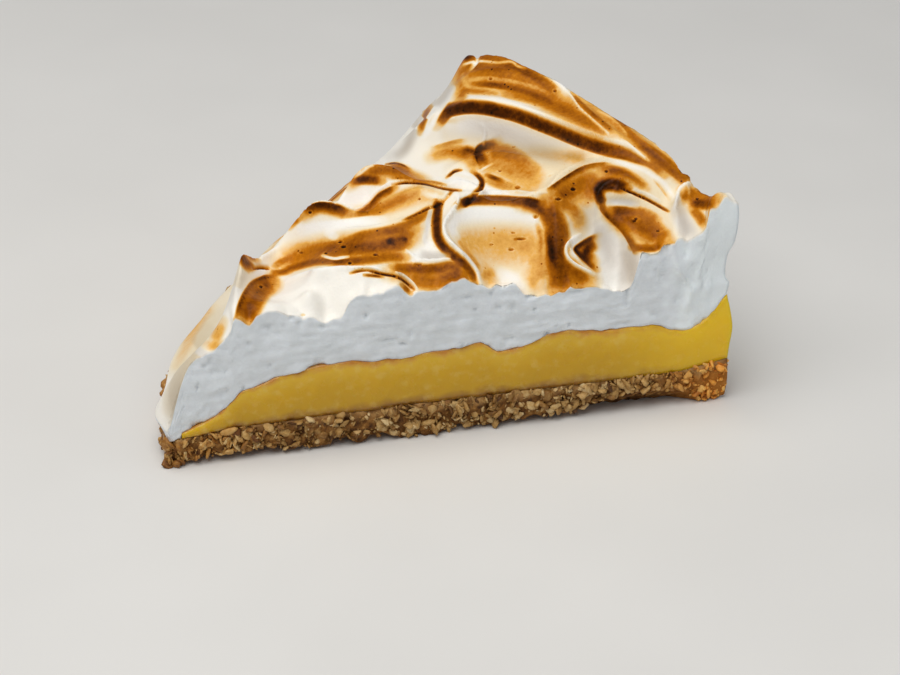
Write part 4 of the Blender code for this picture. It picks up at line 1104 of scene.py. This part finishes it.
def side_spots(rng, count, depth):
    """Random places on the sides of the crust, in millimetres."""
    arc = CRUST_RIM * math.radians(WEDGE)
    length = rng.uniform(0, 2 * CRUST_RIM + arc, count)
    side = np.where(length < CRUST_RIM, 0, np.where(length < 2 * CRUST_RIM, 2, 3))
    r = np.where(side == 0, length, np.where(side == 2, length - CRUST_RIM, CRUST_RIM))
    theta = np.where(side == 0, 0, WEDGE)
    theta = np.where(side == 3, (length - 2 * CRUST_RIM) / arc * WEDGE, theta)
    roof = blend_curve(CRUST_TOP, r)
    lift = crust_lift(r, side)
    z = lift + (roof - lift) * rng.uniform(0.02, 0.98, count)
    turn = np.radians(theta)
    out_x = np.where(side == 0, 0, np.where(side == 2, math.sin(math.radians(WEDGE)),
                                            -np.cos(turn)))
    out_y = np.where(side == 0, -1, np.where(side == 2, math.cos(math.radians(WEDGE)),
                                             np.sin(turn)))
    out = rng.uniform(-depth, 0.3, count)
    x, y = spot(true_radius(r, theta), theta)
    return np.stack([x + out * out_x, y + out * out_y, z], 1), lift, r


def build_crumbs(material):
    """Broken flakes and crumbs over the sides of the crust, as one joined mesh."""
    rng = np.random.default_rng(CRUMB_SEED)
    verts, faces, tones, warmths = [], [], [], []
    total = 0
    for count, rings, small, large, thin in CRUMB_KINDS:
        shapes, ball_faces = crumb_shapes(rng, CRUMB_SHAPES, rings)
        places, lifts, radii = side_spots(rng, count, CRUMB_DEPTH)
        spins = turned(rng, count)
        sizes = rng.uniform(small, large, count)
        stretch = rng.uniform(0.6, 1.2, size=(count, 3)) * (1, 1, thin)
        patch = lumps(places[:, 0], places[:, 1], places[:, 2], 9, 51)
        tone = np.clip(0.5 + 0.25 * patch + rng.normal(0, 0.2, count), 0, 1)
        warmth = np.exp(-((radii / 12) ** 2)) + 0.25 * np.exp(-(((radii - 118) / 12) ** 2))
        for i in range(count):
            shape = shapes[i % len(shapes)] * stretch[i] * sizes[i]
            points = shape @ spins[i].T + places[i]
            points[:, 2] += max(lifts[i] - 0.4 - points[:, 2].min(), 0)
            verts.append(points)
            faces.append(ball_faces + total)
            tones.append(np.full(len(points), tone[i]))
            warmths.append(np.full(len(points), warmth[i]))
            total += len(points)
    verts = np.vstack(verts)
    verts[:, 2] = np.maximum(verts[:, 2], 0.02)
    faces = np.vstack(faces).tolist()
    values = {"tone": np.concatenate(tones), "warmth": np.concatenate(warmths)}
    return new_piece("crust_crumbs", verts, faces, material, None, values)


def linear(colour):
    """Display colour, 0 to 255, as the linear values that a shader takes."""
    c = np.array(colour) / 255
    c = np.where(c <= 0.04045, c / 12.92, ((c + 0.055) / 1.055) ** 2.4)
    return (*[float(v) for v in c], 1.0)


class Shader:
    """Short calls for building a material's nodes."""

    def __init__(self, name, **settings):
        self.material = bpy.data.materials.new(name)
        self.material.use_nodes = True
        self.tree = self.material.node_tree
        self.main = self.tree.nodes["Principled BSDF"]
        for key, value in settings.items():
            self.main.inputs[key.replace("_", " ")].default_value = value
        self.coordinates = self.tree.nodes.new("ShaderNodeTexCoord").outputs["Object"]

    def link(self, source, target):
        self.tree.links.new(source, target)

    def value(self, name):
        item = self.tree.nodes.new("ShaderNodeAttribute")
        item.attribute_name = name
        return item.outputs["Fac"]

    def across(self, low, high):
        """Share of the way from one place along the slice to another, in millimetres."""
        item = self.tree.nodes.new("ShaderNodeSeparateXYZ")
        self.link(self.coordinates, item.inputs["Vector"])
        return self.ranged(item.outputs["X"], low * MM, high * MM)

    def noise(self, size, detail):
        """Even noise; the size is in millimetres."""
        item = self.tree.nodes.new("ShaderNodeTexNoise")
        item.inputs["Scale"].default_value = 1 / (size * MM)
        item.inputs["Detail"].default_value = detail
        item.inputs["Roughness"].default_value = NOISE_ROUGHNESS
        self.link(self.coordinates, item.inputs["Vector"])
        return item.outputs["Fac"]

    def cells(self, size):
        """Distance to the nearest of many scattered points, this far apart in millimetres."""
        item = self.tree.nodes.new("ShaderNodeTexVoronoi")
        item.feature = "F1"
        item.inputs["Scale"].default_value = 1 / (size * MM)
        self.link(self.coordinates, item.inputs["Vector"])
        return item.outputs["Distance"]

    def math(self, operation, first, second, clamp=False):
        item = self.tree.nodes.new("ShaderNodeMath")
        item.operation = operation
        item.use_clamp = clamp
        for socket, value in zip(item.inputs, (first, second)):
            if isinstance(value, (int, float)):
                socket.default_value = value
            else:
                self.link(value, socket)
        return item.outputs["Value"]

    def ranged(self, value, low, high, to_low=0.0, to_high=1.0):
        item = self.tree.nodes.new("ShaderNodeMapRange")
        item.interpolation_type = "SMOOTHSTEP"
        for key, number in (("From Min", low), ("From Max", high), ("To Min", to_low),
                            ("To Max", to_high)):
            item.inputs[key].default_value = number
        self.link(value, item.inputs["Value"])
        return item.outputs["Result"]

    def ramp(self, value, stops):
        item = self.tree.nodes.new("ShaderNodeValToRGB")
        elements = item.color_ramp.elements
        while len(elements) < len(stops):
            elements.new(0.5)
        for element, (position, colour) in zip(elements, stops):
            element.position = position
            element.color = linear(colour)
        self.link(value, item.inputs["Fac"])
        return item.outputs["Color"]

    def mix(self, share, first, second):
        item = self.tree.nodes.new("ShaderNodeMix")
        item.data_type = "RGBA"
        sockets = [item.inputs[0], item.inputs[6], item.inputs[7]]
        for socket, value in zip(sockets, (share, first, second)):
            if isinstance(value, (tuple, float, int)):
                socket.default_value = value
            else:
                self.link(value, socket)
        return item.outputs[2]

    def bump(self, height, distance, strength, normal=None):
        item = self.tree.nodes.new("ShaderNodeBump")
        item.inputs["Strength"].default_value = strength
        item.inputs["Distance"].default_value = distance * MM
        self.link(height, item.inputs["Height"])
        if normal is not None:
            self.link(normal, item.inputs["Normal"])
        return item.outputs["Normal"]

    def finish(self, colour=None, roughness=None, normal=None):
        for name, value in (("Base Color", colour), ("Roughness", roughness),
                            ("Normal", normal)):
            if value is not None:
                self.link(value, self.main.inputs[name])
        return self.material


def meringue_material():
    """White foam, browned where the torch caught it, fine where cut; the cool blue tint of the cut foam
    is painted shade.
    """
    s = Shader("torched_meringue", Subsurface_Weight=0.04, Subsurface_Scale=0.001,
               Specular_IOR_Level=0.2)
    s.main.inputs["Subsurface Radius"].default_value = (1.0, 0.8, 0.6)
    toast = s.value("toast")
    cut = s.value("cut")
    fine = s.noise(0.9, 5)
    broad = s.noise(4.0, 4)
    wobble = s.math("ADD", s.math("SUBTRACT", fine, 0.5), s.math("SUBTRACT", broad, 0.5))
    weight = s.math("MULTIPLY", s.ranged(toast, 0.06, 0.45), 0.24)
    browned = s.math("ADD", toast, s.math("MULTIPLY", wobble, weight), clamp=True)
    speck = s.cells(1.9)
    dark = s.ranged(speck, 0.16, 0.08)
    rare = s.ranged(s.noise(3.1, 1), 0.52, 0.6)
    dark = s.math("MULTIPLY", s.math("MULTIPLY", dark, rare), s.ranged(toast, 0.1, 0.35, 0, 0.3))
    browned = s.math("ADD", browned, dark, clamp=True)
    skin = s.ramp(browned, TOAST_RAMP)
    # Painted shade: the skin is made greyer and browner where the traced shade falls.
    skin = s.mix(s.value("painted_shade"), skin, s.mix(0.5, skin, (0.2, 0.12, 0.05, 1)))
    # Cut foam: a cool blue tint that is painted shade, paler towards the tip.
    near_tip = s.math("MULTIPLY", s.across(44, 56), 0.5)
    foam = s.ramp(s.math("ADD", s.noise(3.0, 4), near_tip),
                  ((0.3, (224, 229, 232)), (0.65, (237, 242, 246)), (0.95, (246, 253, 255))))
    colour = s.mix(cut, skin, foam)
    gloss = s.ranged(browned, 0.1, 0.7, 0.5, 0.36)
    s.link(s.ranged(browned, 0.2, 0.6, 0.25, 0.07), s.main.inputs["Specular IOR Level"])
    bubbles = s.cells(0.55)
    normal = s.bump(s.noise(0.7, 5), 0.12, 0.6)
    normal = s.bump(bubbles, 0.05, 0.4, normal)
    return s.finish(colour, gloss, normal)


def curd_material():
    """Smooth yellow curd, slightly see-through, browner where it soaks the crust."""
    s = Shader("lemon_curd_gloss", Subsurface_Weight=0.35, Subsurface_Scale=0.003,
               Specular_IOR_Level=0.35)
    s.main.inputs["Subsurface Radius"].default_value = (1.0, 0.7, 0.05)
    level = s.value("level")
    patch = s.math("MULTIPLY", s.math("SUBTRACT", s.noise(4.0, 5), 0.5), 0.3)
    place = s.math("ADD", level, patch, clamp=True)
    colour = s.ramp(place, ((0.0, (140, 92, 30)), (0.06, (172, 124, 44)), (0.2, (206, 160, 26)),
                            (0.6, (216, 168, 22)), (0.88, (228, 184, 50)),
                            (0.96, (216, 160, 66)), (1.0, (200, 134, 56))))
    pale = s.ranged(s.noise(2.2, 5), 0.5, 0.72, 0, 0.3)
    colour = s.mix(pale, colour, linear((240, 210, 120)))
    colour = s.mix(s.across(30, 62), colour, s.mix(0.75, colour, linear((255, 208, 24))))
    normal = s.bump(s.noise(1.6, 4), 0.14, 0.6)
    return s.finish(colour, s.ranged(s.noise(3.0, 3), 0.3, 0.7, 0.16, 0.3), normal)


def crust_material():
    """Crust behind the crumbs: its darkest tones are painted shade for the gaps between the crumbs, the
    rest its baked colour; glossy where the curd soaked in.
    """
    s = Shader("crust_inside", Specular_IOR_Level=0.3)
    # The dark browns at the low end are painted shade in the gaps between the crumbs.
    dry = s.ramp(s.noise(1.6, 5), ((0.35, (70, 38, 10)), (0.55, (136, 90, 38)),
                                   (0.75, (190, 142, 80))))
    dry = s.mix(s.across(46, 62), dry, s.mix(0.6, dry, linear((206, 128, 40))))
    soaked = s.ramp(s.noise(2.5, 4), ((0.3, (132, 84, 34)), (0.7, (188, 144, 84))))
    wet = s.ranged(s.value("level"), 0.66, 0.9)
    normal = s.bump(s.noise(0.9, 5), 0.4, 0.9)
    return s.finish(s.mix(wet, dry, soaked), s.ranged(wet, 0, 1, 0.85, 0.4), normal)


def crumb_material():
    """Baked crumbs, from pale biscuit to brown, more orange at the ends."""
    s = Shader("crust_crumb", Roughness=0.5, Specular_IOR_Level=0.35)
    tone = s.value("tone")
    grain = s.math("MULTIPLY", s.math("SUBTRACT", s.noise(0.7, 5), 0.5), 0.7)
    colour = s.ramp(s.math("ADD", tone, grain, clamp=True),
                    ((0.0, (84, 50, 14)), (0.3, (140, 96, 40)), (0.6, (190, 150, 88)),
                     (1.0, (224, 196, 144))))
    warm = s.ramp(s.math("ADD", tone, grain, clamp=True),
                  ((0.1, (190, 106, 18)), (0.5, (242, 166, 64)), (1.0, (254, 212, 120))))
    normal = s.bump(s.noise(0.5, 5), 0.2, 0.8)
    return s.finish(s.mix(s.value("warmth"), colour, warm), None, normal)


def floor_material():
    """Pale, faintly uneven floor."""
    s = Shader("pale_floor", Roughness=0.6)
    return s.finish(s.ramp(s.noise(60, 2), ((0.3, (222, 220, 216)), (0.7, (226, 224, 220)))))


def add_floor():
    """Plain pale floor."""
    bpy.ops.mesh.primitive_plane_add(size=FLOOR_SIZE, location=(0, 0, 0))
    floor = bpy.context.object
    floor.name = "floor"
    floor.data.materials.append(floor_material())


def add_area(name, place, size, power, colour):
    """Soft square light aimed at the middle of the slice."""
    light = bpy.data.lights.new(name, "AREA")
    light.size = size
    light.energy = power
    light.color = colour
    item = bpy.data.objects.new(name, light)
    item.location = place
    aim = Vector((0, -0.02, 0.03)) - Vector(place)
    item.rotation_euler = aim.to_track_quat("-Z", "Y").to_euler()
    bpy.context.scene.collection.objects.link(item)


def add_lights():
    """Large soft light from above and in front, under a pale sky."""
    add_area("key", (-0.25, -0.18, 0.80), size=0.8, power=7.0, colour=(1.0, 0.985, 0.96))
    add_area("fill", (0.62, -0.22, 0.25), size=0.5, power=0.5, colour=(0.95, 0.98, 1.0))
    world = bpy.data.worlds.new("soft_sky")
    world.use_nodes = True
    background = world.node_tree.nodes["Background"]
    background.inputs["Color"].default_value = SKY_COLOUR
    background.inputs["Strength"].default_value = SKY_STRENGTH
    bpy.context.scene.world = world


def add_camera():
    """Camera at the picture's angle."""
    place, _, _, ahead = camera_rays()
    data = bpy.data.cameras.new("camera")
    data.lens = LENS
    data.sensor_width = SENSOR
    item = bpy.data.objects.new("camera", data)
    item.location = place * MM
    item.rotation_euler = ahead.to_track_quat("-Z", "Y").to_euler()
    bpy.context.scene.collection.objects.link(item)
    bpy.context.scene.camera = item


bpy.context.scene.view_settings.view_transform = "Standard"
build_meringue(meringue_material())
build_curd(curd_material())
build_crust(crust_material())
build_crumbs(crumb_material())
add_floor()
add_lights()
add_camera()
